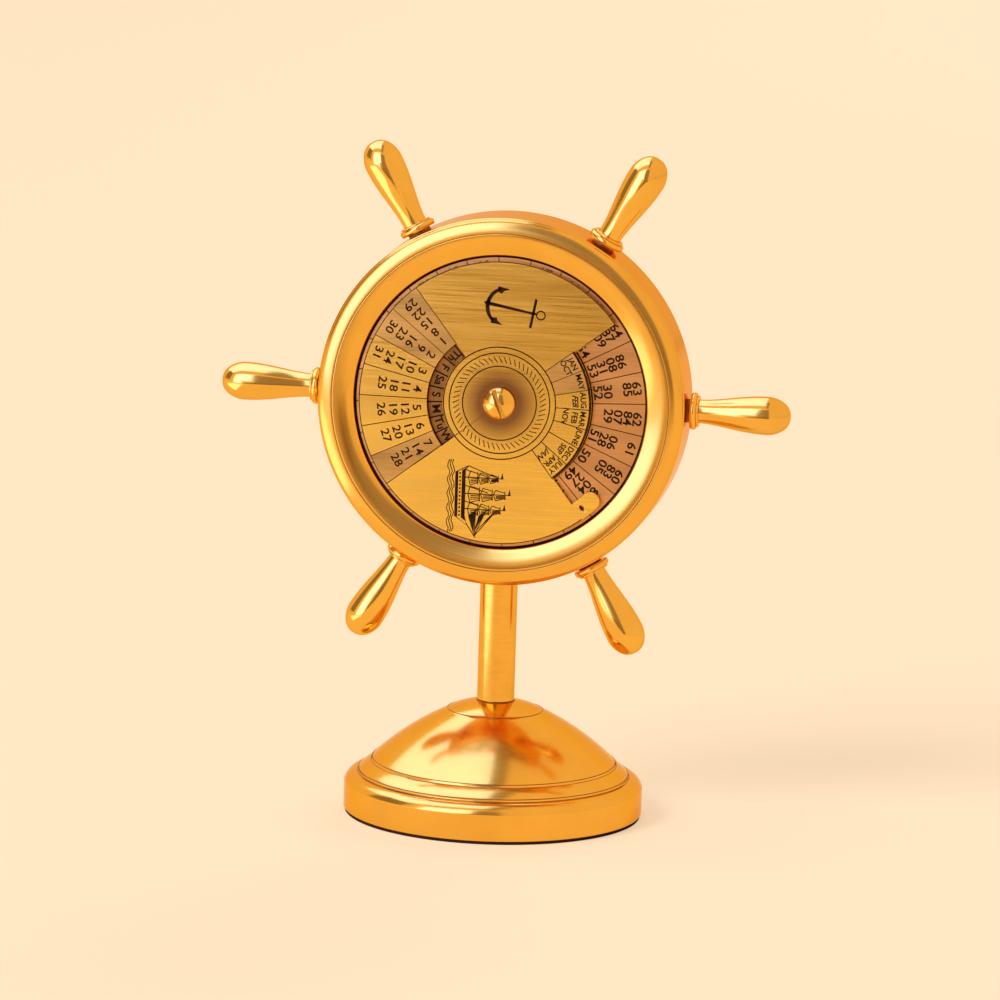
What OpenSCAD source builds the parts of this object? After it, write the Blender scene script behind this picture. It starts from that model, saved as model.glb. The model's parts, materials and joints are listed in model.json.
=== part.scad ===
// Ship's-wheel desk clock with calendar: a brass wheel on a turned stand, a turning
// calendar disc on its front face and a push-in quartz clock in its rear face.
// Millimetres. +Z is up, the calendar faces -Y, the clock faces +Y, and the origin is
// the middle of the underside. Front depths are counted from the handles' plane
// towards -Y, rear depths from the same plane towards +Y.

/* [Stand] */
// Radius of the base at its straight wall
base_r = 33.7; // [30:0.1:40]
// Height of the straight wall's top above the table
wall_top = 6.6; // [5:0.1:9]
// Width of the rounded rim between the wall and the lower turned step
rim_w = 2.9; // [2:0.1:4]
// Height of the rounded rim
rim_h = 2.3; // [1.5:0.1:3.5]
// Width of the band between the two turned steps
band_w = 2.6; // [2:0.1:4]
// Height of the band between the two turned steps
band_h = 2; // [1:0.1:3]
// Depth of each turned step, sideways
step_w = 0.35; // [0.2:0.05:0.6]
// Height of each turned step
step_h = 0.6; // [0.3:0.05:0.9]
// Height of the bell-shaped dome
dome_h = 11.7; // [9:0.1:14]
// How far the dome's outline bulges beyond a straight line
dome_bulge = 0.8; // [0.4:0.1:1.6]
// Radius of the turned line round the top of the dome
button_r = 10.9; // [9:0.1:13]
// Rise from that line to the stem's seat
button_h = 1.9; // [1:0.1:3]
// Thickness of the cast wall of the hollow base
base_wall = 3; // [2.2:0.1:4]
// Radius of the boss under the stem
boss_r = 8.5; // [7:0.1:10]
// Thickness of the felt under the base
felt_t = 0.6; // [0.4:0.1:1.6]
// How far the felt stays inside the base's edge
felt_inset = 0.35; // [0.2:0.05:1]
// Radius of the stem
stem_r = 4.22; // [4:0.01:5]
// Height of the wheel's axis above the table
axis_z = 94.5; // [88:0.5:104]
// Radius of the stem's upper stud and of the screw in its lower end
stem_thread_r = 2.5; // [2:0.05:2.8]
// Depth that the base screw reaches into the stem
base_screw_grip = 9; // [6:0.5:14]
// Radius of the base screw's head
base_screw_head_r = 4.3; // [3.9:0.1:4.8]
// Height of the base screw's head
base_screw_head_h = 2.6; // [2:0.1:3.2]
// Radius of the base washer
washer_r = 5.8; // [5.4:0.1:6.4]
// Thickness of the base washer
washer_t = 1; // [0.6:0.1:1.4]

/* [Drum] */
// Radius of the drum at its front edge
drum_r = 41; // [40:0.1:44]
// How much wider the drum is towards its rear edge
drum_taper = 0.5; // [0:0.05:0.8]
// Depth of the drum's front face
drum_front = 6.9; // [6.5:0.05:8]
// Depth of the drum's rear face
drum_rear = 6.5; // [6:0.05:8]
// Wall of the drum round the recess that holds the year plate and the front bezel
seat_wall = 4.8; // [4:0.1:5.4]
// Depth of that recess
seat_depth = 1.6; // [1.4:0.05:2]
// Thickness of the web behind the year plate
web_t = 1.5; // [1.2:0.05:1.8]
// Chamfer on the drum's edges
drum_chamfer = 0.3; // [0.1:0.05:0.6]

/* [Calendar] */
// Width of the front bezel, from the drum's edge to its opening
bezel_w = 8; // [7:0.1:8.6]
// Thickness of the bezel's lip at the opening
lip_t = 0.7; // [0.5:0.05:1]
// Width of the bezel's outer band, as far as the crease
outer_band_w = 3.1; // [2.8:0.05:4]
// Height of the crease above the drum's front face
crease_h = 1; // [0.6:0.05:1.5]
// Bulge of the bezel's outer band
bead_bulge = 0.95; // [0.6:0.05:1.2]
// Thickness of the year plate
plate_t = 1; // [0.8:0.05:1.2]
// Width of the year plate that shows round the calendar disc
plate_margin = 1.25; // [1.2:0.05:2]
// Thickness of the calendar disc
disc_t = 1; // [0.8:0.05:1.2]
// Gap between the year plate and the calendar disc
disc_gap = 0.4; // [0.3:0.05:0.6]
// Width of the opening that shows the years
years_w = 11.1; // [9:0.1:12]
// Angle at which that opening starts, from the right, seen from the front
years_from = -52.4; // [-60:0.1:-45]
// Angle at which that opening ends
years_to = 37; // [25:0.1:40]
// Inner radius of the window that shows the weekdays
window_r0 = 12.8; // [12:0.1:14]
// Outer radius of the weekday window
window_r1 = 16.4; // [15.5:0.1:18]
// Angle at which the weekday window starts
window_from = 128; // [115:0.5:135]
// Angle at which the weekday window ends
window_to = 219; // [210:0.5:225]
// Width of the finger tab, which runs along the disc's edge into the opening
tab_w = 4.1; // [3.4:0.1:5]
// Angle from the opening's lower edge to the middle of the finger tab's round end
tab_turn = 7.6; // [5:0.1:10]
// Half the width of the oval dimple in the finger tab
dimple_r = 0.55; // [0.4:0.05:0.8]
// Length of that dimple, along the radius
dimple_len = 1.9; // [1.4:0.1:2.4]
// Angle from the opening's lower edge to the dimple
dimple_turn = 2.8; // [2:0.1:4]
// Radius of the bush that the calendar disc turns on
bush_r = 2.8; // [2.5:0.05:3]
// Radius of the centre screw's shank
centre_screw_r = 1.6; // [1.2:0.05:1.8]
// Radius of the centre screw's domed head
head_r = 3.6; // [3.4:0.05:4]
// Height of the centre screw's head
head_h = 2.1; // [1.8:0.05:2.6]
// Width of the slot in the centre screw
slot_w = 0.9; // [0.7:0.05:1.1]
// Angle of the slot, from the right, seen from the front
slot_angle = -68; // [-180:1:180]
// Outer radius of the wave washer under the calendar disc
wave_r = 6.4; // [5.5:0.1:8]
// Thickness of the wave washer
wave_t = 0.3; // [0.2:0.05:0.35]

/* [Handles] */
// Turn of the wheel on its stem, seen from the front
wheel_turn = -0.8; // [-5:0.1:5]
// Length of a handle outside the drum
handle_len = 23.3; // [20:0.1:27]
// Radius of the handle's threaded stud
stud_r = 2; // [1.6:0.05:2.2]
// Radius of the short neck at the drum
neck_r = 2.6; // [2.4:0.05:3]
// Visible length of the neck
neck_len = 1; // [0.6:0.05:1.4]
// Radius of the collar
collar_r = 4.15; // [3.8:0.05:4.5]
// Thickness of the collar, with the step on its outer side
collar_t = 1.85; // [1.5:0.05:2.2]
// Radius of that step
collar_step_r = 3.5; // [3.2:0.05:3.8]
// Thickness of that step
collar_step_t = 0.5; // [0.3:0.05:0.7]
// Radius of the grip next to the collar
grip_r0 = 2.65; // [2.3:0.05:3]
// Radius of the grip at its widest
grip_r1 = 4.3; // [4:0.05:4.8]
// Distance of the widest place from the tip
belly = 5.1; // [4.6:0.1:6]

/* [Clock] */
// Room for the rubber ring between the case and the drum's bore
ring_room = 1; // [0.9:0.05:1.3]
// Radial clearance of the rubber ring in the drum's bore
ring_fit = 0.05; // [0.03:0.01:0.1]
// Outer radius of the clock's plastic case
case_r = 30.2; // [30:0.05:30.4]
// Thickness of the case's side wall
case_wall = 1.4; // [1.2:0.05:1.6]
// Thickness of the case's back wall
case_back_t = 1.6; // [1.4:0.05:1.8]
// Gap between the case's back and the drum's web
case_gap = 0.4; // [0.3:0.05:0.6]
// How far the rear bezel's edge stays inside the drum's edge
rear_bezel_inset = 2.4; // [1.5:0.1:4]
// How far the rear bezel laps over the case
rear_lip_w = 1.4; // [1:0.05:1.6]
// Height of the rear bezel above the drum's rear face
rear_bezel_h = 4.4; // [4:0.05:5]
// Length of the rear bezel's skirt inside the bore
skirt_len = 4; // [3:0.1:4.4]
// Thickness of that skirt
skirt_t = 0.6; // [0.5:0.05:0.7]
// Thickness of the lens
lens_t = 1.6; // [1.2:0.05:1.6]
// Depth of the dial's face
dial_face = 3.7; // [3.6:0.05:3.8]
// Thickness of the dial
dial_t = 0.5; // [0.3:0.05:0.5]
// Length of the hour hand
hour_len = 14.5; // [12:0.1:16]
// Length of the minute hand
minute_len = 21.5; // [19:0.1:24]
// Thickness of each hand
hand_t = 0.3; // [0.2:0.05:0.4]
// Gap from dial to hour hand and between the hands
hand_gap = 0.55; // [0.45:0.05:0.6]
// Time that the hands show, in hours
shown_time = 10.1667; // [0:0.0833:12]

/* [Movement] */
// Tooth module of the motion work
module_mm = 0.35; // [0.33:0.005:0.36]
// Thickness of each toothed wheel
wheel_t = 1; // [0.8:0.05:1]
// Radius of the button cell
cell_r = 5.8; // [5:0.1:6]
// Thickness of the button cell
cell_t = 4.2; // [3:0.1:4.3]
// Radius of the setting knob
knob_r = 4.6; // [4:0.1:5]
// Thickness of the setting knob
knob_t = 0.9; // [0.8:0.05:0.9]
// Wall of the movement's housing
shell_t = 0.8; // [0.7:0.05:0.9]

/* [Hidden] */

$fn = 96;
eps = 0.01;          // overrun of a cut past a face
fit = 0.05;          // radial gap of a screwed or registered fit
run = 0.06;          // radial gap of a running fit
edge = 0.3;          // chamfer of a turned edge
skirt_gap = 0.1;     // radial gap between the clock's case and the bezel's skirt
screw_recess = 0.6;  // depth of the base screw's head above the felt
handles = 6;

brass = "goldenrod";
aged = "darkgoldenrod";
steel = "silver";

// Heights of the base's turned outline
rim_top = wall_top + rim_h;
band_top = rim_top + step_h + band_h;
dome_foot = band_top + step_h;
dome_top = dome_foot + dome_h;
base_top = dome_top + button_h;
// Radii of the same outline
band_r = base_r - rim_w;
dome_r = band_r - step_w - band_w;

// Radii of the drum, its front bezel and the calendar
seat_r = drum_r - seat_wall;
aperture_r = drum_r - bezel_w;
crease_r = drum_r - outer_band_w;
disc_r = aperture_r - plate_margin;
years_r = disc_r - years_w;

// Radii of the drum's bore and of the clock's rear bezel
bore_r = case_r + ring_room;
rear_bezel_r = drum_r - rear_bezel_inset;
rear_aperture_r = case_r - rear_lip_w;
skirt_r = case_r + skirt_gap + skirt_t;

// Flats on the drum where the handles and the stem are screwed on, and their studs
handle_seat = drum_r;
stem_seat = drum_r - 0.2;
stem_top = axis_z - stem_seat;
stud_len = (drum_r - bore_r) * 2 / 3;
stud_room = 0.4;     // depth of a tapped hole beyond its stud
spot_margin = 0.3;   // radial room of a spot face
tip_r = drum_r + handle_len;
collar_z = handle_seat + neck_len;
grip_z = collar_z + collar_t;
belly_z = tip_r - belly;
washer_z = felt_t + base_screw_head_h + screw_recess;

// Depths of the calendar's layers, from the handles' plane towards the front
web_front = drum_front - seat_depth;
web_back = web_front - web_t;
plate_front = web_front + plate_t;
disc_back = plate_front + disc_gap;
disc_front = disc_back + disc_t;
bush_top = disc_front + 0.1;
lip_front = plate_front + lip_t;

// Depths of the clock's layers, from the handles' plane towards the rear
case_back = case_gap - web_back;
case_floor = case_back + case_back_t;
dial_back = dial_face - dial_t;
hour_hand_z = dial_face + hand_gap;
minute_hand_z = hour_hand_z + hand_t + hand_gap;
nut_z = minute_hand_z + hand_t;
case_front = drum_rear + 0.1;
lens_back = case_front + 0.05;
lens_front = lens_back + lens_t;
pocket_r = case_r - case_wall - 1;
dial_r = case_r - case_wall - 0.1;

// The motion work: tooth counts, their common centre distance and their layers
cannon_teeth = 10;
wheel_teeth = 30;
pinion_teeth = 8;
hour_teeth = 32;
centre_dist = module_mm * (cannon_teeth + wheel_teeth) / 2;
shell_back = case_floor + 0.05;
shell_front = dial_back - 0.05;
wheel_z = shell_back + shell_t + 0.2;
hour_wheel_z = wheel_z + wheel_t + 0.25;
arbor_r = 0.6;
pipe_r = 1.1;
pivot_r = 0.45;
cell_x = -13.6;
cell_y = -4;
cell_fit = 0.3;
cover_t = 0.8;
mouth_r = cell_r + cell_fit + 0.3;
lug_r = mouth_r + 1.1;
lug_z = 0.4;
lug_low = 8;
lug_high = 24;
cover_turn = 45;     // way that the cover turns to let go
cell_z = case_back + cover_t + 0.1;

// The drive coil: left end, height above the hour wheel, length, core and end pins
coil_x = -6;
coil_y = module_mm * hour_teeth / 2 + 3;
coil_len = 14;
coil_core_r = 0.7;
coil_pin = 2;
cheek_t = 0.6;

// The movement's housing, seen from the rear: it holds the cell on the left, the knob's
// pinion on the right and the coil at the top
shell_corner = 3;
shell_x0 = cell_x - cell_r - cell_fit - 1.8;
shell_x1 = 2 * centre_dist + 3.5;
shell_y1 = coil_y + 4.4;

// The circuit board: left and lower edge, size, and the crystal's can on it
board_x = -4;
board_y = shell_t + 0.4 - shell_y1;
board_w = 2 * centre_dist - board_x;
board_h = 4.6;
board_t = 0.6;
chip_w = 4;
chip_t = 0.9;
can_r = 0.98;
can_len = 5.4;

// Circular arc from a to b that bulges by h to the left of the way from a to b
function arc(a, b, h, n = 8) =
    let (
        c = b - a,
        len = norm(c),
        u = c / len,
        w = [-u[1], u[0]],
        rho = (len * len / 4 + h * h) / (2 * h),
        phi = asin(len / 2 / rho),
        mid = (a + b) / 2 - w * (rho - h)
    )
    [for (i = [0:n]) let (t = phi * (2 * i / n - 1)) mid + rho * (cos(t) * w + sin(t) * u)];

// Point at radius r and angle a
function polar(r, a) = [r * cos(a), r * sin(a)];

// Places a form drawn with +Z towards the viewer on the wheel's axis, facing the front
module face_front() translate([0, 0, axis_z]) rotate([90, 0, 0]) children();

// The same for the rear: the form's right is the right of someone behind the clock
module face_rear() translate([0, 0, axis_z]) rotate([90, 0, 180]) children();

// Ring or washer that lies between two depths
module ring(r_out, r_in, from, to) {
    translate([0, 0, from]) difference() {
        cylinder(r = r_out, h = to - from);
        translate([0, 0, -1]) cylinder(r = r_in, h = to - from + 2);
    }
}

// Wedge of a ring between two angles
module ring_sector(r_out, r_in, from_a, to_a, from, to) {
    reach = 2 * r_out;
    mid_a = (from_a + to_a) / 2;
    intersection() {
        ring(r_out, r_in, from, to);
        translate([0, 0, from - 1]) linear_extrude(to - from + 2)
            polygon([[0, 0], polar(reach, from_a), polar(reach, mid_a), polar(reach, to_a)]);
    }
}

// ---------- stand ----------

module base() {
    foot = felt_t;
    inner_r = base_r - base_wall;
    roof_r = boss_r + 1;
    drop = base_wall * 1.25;
    color(brass) difference() {
        rotate_extrude() polygon(concat(
            [[0, foot], [base_r - edge, foot], [base_r, foot + edge]],
            arc([base_r, wall_top], [band_r, rim_top], -rim_h * 0.28, 6),
            [[band_r - step_w, rim_top + step_h]],
            arc([band_r - step_w, rim_top + step_h + eps], [dome_r + step_w, band_top], -0.12, 3),
            [[dome_r, dome_foot]],
            arc([dome_r, dome_foot + eps], [button_r, dome_top - 0.25], -dome_bulge, 12),
            [[button_r - 0.15, dome_top - 0.1]],
            arc([button_r - 0.3, dome_top], [stem_r, base_top], -0.25, 5),
            [[0, base_top]]
        ));
        // Hollow of the casting, round the boss that carries the stem
        rotate_extrude() polygon(concat(
            [[boss_r, foot - 1], [inner_r, foot - 1], [inner_r, wall_top - 1.4]],
            arc([dome_r - base_wall * 0.6, dome_foot - drop + 1.2], [roof_r, dome_top - drop],
                -dome_bulge, 8),
            [[boss_r, dome_top - drop - 1]]
        ));
        // Seat of the screw's head and washer, and the screw's hole
        translate([0, 0, foot - 1])
            cylinder(r = washer_r + spot_margin, h = washer_z + washer_t + 1 - foot);
        cylinder(r = stem_thread_r + 0.2, h = base_top + 1);
    }
}

module felt_pad() {
    color("darkgreen") cylinder(r = base_r - felt_inset, h = felt_t);
}

module base_washer() {
    color(steel) ring(washer_r, stem_thread_r + 0.15, washer_z, washer_z + washer_t);
}

module base_screw() {
    socket_r = base_screw_head_r * 0.5;
    color(steel) difference() {
        union() {
            translate([0, 0, washer_z - base_screw_head_h])
                cylinder(r = base_screw_head_r, h = base_screw_head_h);
            translate([0, 0, washer_z - eps])
                cylinder(r = stem_thread_r - fit, h = base_top + base_screw_grip - washer_z);
        }
        // Hexagon socket
        translate([0, 0, washer_z - base_screw_head_h - 1])
            cylinder(r = socket_r, h = 1 + base_screw_head_h * 0.6, $fn = 6);
    }
}

module stem() {
    chamfer = 0.25;
    color(brass) difference() {
        rotate_extrude() polygon([
            [0, base_top], [stem_r - chamfer, base_top], [stem_r, base_top + chamfer],
            [stem_r, stem_top], [stem_thread_r - fit, stem_top],
            [stem_thread_r - fit, stem_top + stud_len - edge],
            [stem_thread_r - fit - edge, stem_top + stud_len], [0, stem_top + stud_len]
        ]);
        translate([0, 0, base_top - 1]) cylinder(r = stem_thread_r, h = base_screw_grip + 2);
    }
}

// ---------- drum ----------

module drum_body() {
    rear_r = drum_r + drum_taper;
    color(brass) difference() {
        face_front() rotate_extrude() polygon([
            [centre_screw_r, web_back], [bore_r, web_back], [bore_r, -drum_rear],
            [rear_r - drum_chamfer, -drum_rear], [rear_r, drum_chamfer - drum_rear],
            [drum_r + drum_chamfer, drum_front - drum_chamfer], [drum_r, drum_front],
            [seat_r, drum_front], [seat_r, web_front], [centre_screw_r, web_front]
        ]);
        // Spot face and tapped hole for each handle
        face_front() for (i = [0:handles - 1]) rotate([0, 0, wheel_turn + i * 360 / handles])
            rotate([0, 90, 0]) {
                translate([0, 0, handle_seat]) cylinder(r = neck_r + spot_margin, h = 5);
                translate([0, 0, handle_seat - stud_len - stud_room])
                    cylinder(r = stud_r, h = stud_len + 2);
            }
        // Spot face and tapped hole for the stem
        translate([0, 0, stem_top - 5]) cylinder(r = stem_r + spot_margin, h = 5);
        translate([0, 0, stem_top - 1]) cylinder(r = stem_thread_r, h = 1 + stud_len + stud_room);
    }
}

module calendar_bezel() {
    crest_z = drum_front + crease_h;
    color(brass) face_front() rotate_extrude() polygon(concat(
        [[aperture_r, plate_front], [seat_r - fit, plate_front], [seat_r - fit, drum_front],
            [drum_r, drum_front]],
        arc([drum_r, drum_front + edge], [crease_r, crest_z], -bead_bulge, 8),
        arc([crease_r - 0.05, crest_z - 0.1], [aperture_r + 0.2, lip_front], -0.2, 4),
        [[aperture_r, lip_front - 0.2]]
    ));
}

module year_plate() {
    color(aged) face_front() ring(seat_r - 0.2, bush_r + fit, web_front, plate_front);
}

// ---------- calendar ----------

module calendar_disc() {
    tab_r = tab_w / 2;
    tab_end = years_from + tab_turn;
    tab_mid = polar(disc_r - tab_r, tab_end);
    dimple_reach = dimple_len / 2 - dimple_r;
    color(aged) face_front() difference() {
        union() {
            difference() {
                ring(disc_r, bush_r + run, disc_back, disc_front);
                ring_sector(disc_r + 1, years_r, years_from, years_to, disc_back - 1, disc_front + 1);
                ring_sector(window_r1, window_r0, window_from, window_to,
                    disc_back - 1, disc_front + 1);
            }
            // Finger tab in the corner of the opening
            ring_sector(disc_r, disc_r - tab_w, years_from - 1, tab_end, disc_back, disc_front);
            intersection() {
                ring(disc_r, years_r, disc_back, disc_front);
                translate([tab_mid[0], tab_mid[1], disc_back]) cylinder(r = tab_r, h = disc_t, $fn = 48);
            }
        }
        // Dimple for a fingernail
        rotate([0, 0, years_from + dimple_turn]) hull() for (way = [-1, 1])
            translate([disc_r - tab_r + way * dimple_reach, 0, disc_front - 0.4])
                cylinder(r = dimple_r, h = 1, $fn = 24);
    }
}

module hub_bush() {
    color(brass) face_front() ring(bush_r, centre_screw_r + fit, web_front, bush_top);
}

module wave_washer() {
    mid = (plate_front + disc_back) / 2;
    color(steel) face_front() ring(wave_r, bush_r + fit, mid - wave_t / 2, mid + wave_t / 2);
}

module centre_screw() {
    color(brass) face_front() difference() {
        rotate_extrude() polygon(concat(
            [[0, web_back + 0.1], [centre_screw_r - fit, web_back + 0.1],
                [centre_screw_r - fit, bush_top], [head_r, bush_top], [head_r, bush_top + 0.5]],
            arc([head_r, bush_top + 0.6], [0, bush_top + head_h], -0.55, 8)
        ));
        translate([0, 0, bush_top + head_h * 0.45]) rotate([0, 0, slot_angle])
            translate([-head_r - 1, -slot_w / 2, 0]) cube([2 * head_r + 2, slot_w, head_h]);
    }
}

// ---------- handles ----------

// Radius of the grip at share t of the way from the collar to its widest place
function grip(t) = grip_r0 + (grip_r1 - grip_r0) * (1 - cos(180 * pow(t, 0.9))) / 2;

module handle_form() {
    steps = 12;
    crown = 8;
    round = 0.3;
    step_z = grip_z - collar_step_t;
    rotate_extrude() polygon(concat(
        [[0, handle_seat - stud_len], [stud_r - fit - edge, handle_seat - stud_len],
            [stud_r - fit, handle_seat - stud_len + edge], [stud_r - fit, handle_seat],
            [neck_r, handle_seat], [neck_r, collar_z]],
        arc([collar_r - round, collar_z], [collar_r - round, step_z], -round, 5),
        arc([collar_step_r - 0.1, step_z + eps], [collar_step_r - 0.1, grip_z], -0.1, 3),
        [for (i = [0:steps]) [grip(i / steps), grip_z + (belly_z - grip_z) * i / steps]],
        [for (i = [1:crown]) let (a = 90 * i / crown)
            [grip_r1 * pow(cos(a), 0.85), belly_z + belly * pow(sin(a), 1.15)]]
    ));
}

module handle(i) {
    color(brass) face_front() rotate([0, 0, wheel_turn + i * 360 / handles])
        rotate([0, 90, 0]) handle_form();
}

module handle_1() { handle(0); }
module handle_2() { handle(1); }
module handle_3() { handle(2); }
module handle_4() { handle(3); }
module handle_5() { handle(4); }
module handle_6() { handle(5); }

// ---------- clock ----------

module clock_bezel() {
    crest = [(rear_bezel_r + rear_aperture_r) / 2 + 1.2, drum_rear + rear_bezel_h];
    lip = [rear_aperture_r, lens_front + 0.05];
    color(brass) face_rear() rotate_extrude() polygon(concat(
        [[case_r + skirt_gap, drum_rear - skirt_len], [skirt_r, drum_rear - skirt_len],
            [skirt_r, drum_rear + fit], [rear_bezel_r, drum_rear + fit]],
        arc([rear_bezel_r, drum_rear + 0.6], crest, -0.9, 8),
        arc(crest - [0.1, 0.02], lip + [0.1, 0.7], -0.4, 5),
        [lip, [case_r + skirt_gap, lip[1]]]
    ));
}

module lens() {
    color([0.8, 0.9, 1, 0.35]) face_rear()
        translate([0, 0, lens_back]) cylinder(r = case_r - 0.1, h = lens_t);
}

module clock_dial() {
    color("ivory") face_rear() ring(dial_r, pipe_r + 0.3, dial_back, dial_face);
}

// Rubber ring that holds the clock in the bore by friction
module grip_ring() {
    ribs = 3;
    pitch = 1.2;
    from = drum_rear - skirt_len - 0.3 - ribs * pitch;
    outer = bore_r - ring_fit;
    color("dimgray") face_rear() rotate_extrude() polygon(concat(
        [[case_r + 0.02, from + ribs * pitch], [case_r + 0.02, from]],
        [for (i = [0:ribs - 1]) each [
            [outer - 0.35, from + i * pitch],
            [outer, from + (i + 0.35) * pitch],
            [outer, from + (i + 0.65) * pitch],
            [outer - 0.35, from + (i + 0.98) * pitch]]]
    ));
}

module clock_case() {
    color("black") difference() {
        face_rear() rotate_extrude() polygon([
            [0, case_back], [case_r - 0.5, case_back], [case_r, case_back + 0.5],
            [case_r, case_front], [dial_r + 0.1, case_front], [dial_r + 0.1, dial_back],
            [pocket_r, dial_back], [pocket_r, case_floor], [0, case_floor]
        ]);
        // Well of the setting knob and the hole for its shaft
        face_rear() translate([2 * centre_dist, 0, case_back - 1]) {
            cylinder(r = knob_r + 0.3, h = knob_t + 0.1 + 1);
            cylinder(r = pipe_r + 0.1, h = case_back_t + 2);
        }
        // Mouth of the cell's compartment, with the slots that the cover's lugs turn in
        face_rear() translate([cell_x, cell_y, case_back]) {
            translate([0, 0, -1]) cylinder(r = mouth_r, h = case_back_t + 2);
            for (a = [0, 180]) {
                ring_sector(lug_r + 0.3, cell_r, a - lug_low - 4, a + lug_high + cover_turn + 4,
                    lug_z - 0.1, cover_t + 0.1);
                ring_sector(lug_r + 0.3, cell_r, a + cover_turn - lug_low - 4,
                    a + lug_high + cover_turn + 4, -1, cover_t);
            }
        }
    }
}

// ---------- movement ----------

// Outline of the movement's housing as a rounded plate, grown by a margin
module shell_plate(margin, from, to) {
    r = shell_corner + margin;
    x0 = shell_x0 + shell_corner;
    x1 = shell_x1 - shell_corner;
    y1 = shell_y1 - shell_corner;
    translate([0, 0, from]) union() {
        translate([x0 - r, -y1, 0]) cube([x1 - x0 + 2 * r, 2 * y1, to - from]);
        translate([x0, -y1 - r, 0]) cube([x1 - x0, 2 * y1 + 2 * r, to - from]);
        for (x = [x0, x1], y = [-y1, y1]) translate([x, y, 0]) cylinder(r = r, h = to - from, $fn = 32);
    }
}

module movement_back() {
    color("dimgray") face_rear() difference() {
        shell_plate(0, shell_back, shell_front - shell_t - 0.05);
        shell_plate(-shell_t, shell_back + shell_t, shell_front);
        translate([2 * centre_dist, 0, shell_back - 1]) cylinder(r = pivot_r + 0.45 + run, h = 3);
        translate([centre_dist, 0, shell_back - 1]) cylinder(r = pivot_r + run, h = 3);
        translate([0, 0, shell_back - 1]) cylinder(r = pivot_r + run, h = 3);
        translate([cell_x, cell_y, shell_back - 1]) cylinder(r = cell_r + cell_fit, h = 8);
    }
}

module movement_front() {
    color("gray") face_rear() difference() {
        union() {
            shell_plate(0, shell_front - shell_t, shell_front);
            // Post that the minute wheel's upper pivot runs in
            translate([centre_dist, 0, hour_wheel_z + wheel_t + 0.3])
                cylinder(r = 1.4, h = shell_front - hour_wheel_z - wheel_t - 0.4);
        }
        translate([0, 0, shell_front - 3]) cylinder(r = pipe_r + run, h = 4);
        translate([centre_dist, 0, shell_front - 5]) cylinder(r = pivot_r + run, h = 5 - 0.3);
        translate([cell_x, cell_y, shell_front - 3]) cylinder(r = cell_r + cell_fit, h = 4);
    }
}

module coil() {
    mid = (shell_back + shell_front) / 2;
    cheek = mid - shell_back - shell_t - 0.05;
    wound = cheek - edge;
    color("chocolate") face_rear() translate([coil_x, coil_y, mid]) rotate([0, 90, 0])
        rotate_extrude() polygon([
            [0, -coil_pin], [coil_core_r, -coil_pin], [coil_core_r, 0], [cheek, 0],
            [cheek, cheek_t], [wound, cheek_t], [wound, coil_len - cheek_t],
            [cheek, coil_len - cheek_t], [cheek, coil_len], [coil_core_r, coil_len],
            [coil_core_r, coil_len + coil_pin], [0, coil_len + coil_pin]
        ]);
}

module circuit_board() {
    board_top = board_t - eps;
    color("darkgreen") face_rear()
        translate([board_x, board_y, shell_back + shell_t + 2 * eps]) union() {
            cube([board_w, board_h, board_t]);
            translate([board_w / 3, edge, board_top]) cube([chip_w, board_h - 2 * edge, chip_t]);
            // Quartz crystal in its metal can
            translate([board_w - can_len - 1, board_h / 2, board_top + can_r]) rotate([0, 90, 0])
                cylinder(r = can_r, h = can_len, $fn = 32);
        }
}

module button_cell() {
    color(steel) face_rear() union() {
        translate([cell_x, cell_y, cell_z]) cylinder(r = cell_r, h = cell_t * 0.8);
        translate([cell_x, cell_y, cell_z + cell_t * 0.8 - eps])
            cylinder(r = cell_r * 0.86, h = cell_t * 0.2);
    }
}

module cell_cover() {
    coin_len = 9;
    coin_w = 1.4;
    color("black") face_rear() translate([cell_x, cell_y, case_back]) difference() {
        union() {
            cylinder(r = mouth_r - 0.1, h = cover_t);
            // Two bayonet lugs
            for (a = [0, 180]) ring_sector(lug_r, cell_r - 0.5, a - lug_low, a + lug_high, lug_z, cover_t);
        }
        // Slot for a coin
        translate([-coin_len / 2, -coin_w / 2, -1]) cube([coin_len, coin_w, 1 + cover_t / 2]);
    }
}

// Outline of a toothed wheel, tooth by tooth: root, flank and tip
function tooth_points(teeth) =
    let (
        pitch_r = module_mm * teeth / 2,
        tip = pitch_r + 0.85 * module_mm,
        root = pitch_r - 1.15 * module_mm,
        pitch = 360 / teeth
    )
    [for (i = [0:teeth - 1]) let (a = i * pitch) each [
        polar(root, a - 0.27 * pitch), polar(pitch_r, a - 0.2 * pitch), polar(tip, a - 0.08 * pitch),
        polar(tip, a + 0.08 * pitch), polar(pitch_r, a + 0.2 * pitch), polar(root, a + 0.27 * pitch)]];

module toothed(teeth, from, turn) {
    translate([0, 0, from]) rotate([0, 0, turn]) linear_extrude(wheel_t) polygon(tooth_points(teeth));
}

module setting_knob() {
    grooves = 20;
    color("black") face_rear() translate([2 * centre_dist, 0, 0]) union() {
        difference() {
            translate([0, 0, case_back]) cylinder(r = knob_r, h = knob_t);
            for (i = [0:grooves - 1]) rotate([0, 0, i * 360 / grooves])
                translate([knob_r + 0.25, 0, case_back - 1]) cylinder(r = 0.5, h = knob_t + 2, $fn = 16);
        }
        translate([0, 0, case_back]) cylinder(r = pivot_r + 0.45, h = wheel_z - case_back + eps);
        toothed(cannon_teeth, wheel_z, 180 / cannon_teeth);
    }
}

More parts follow.
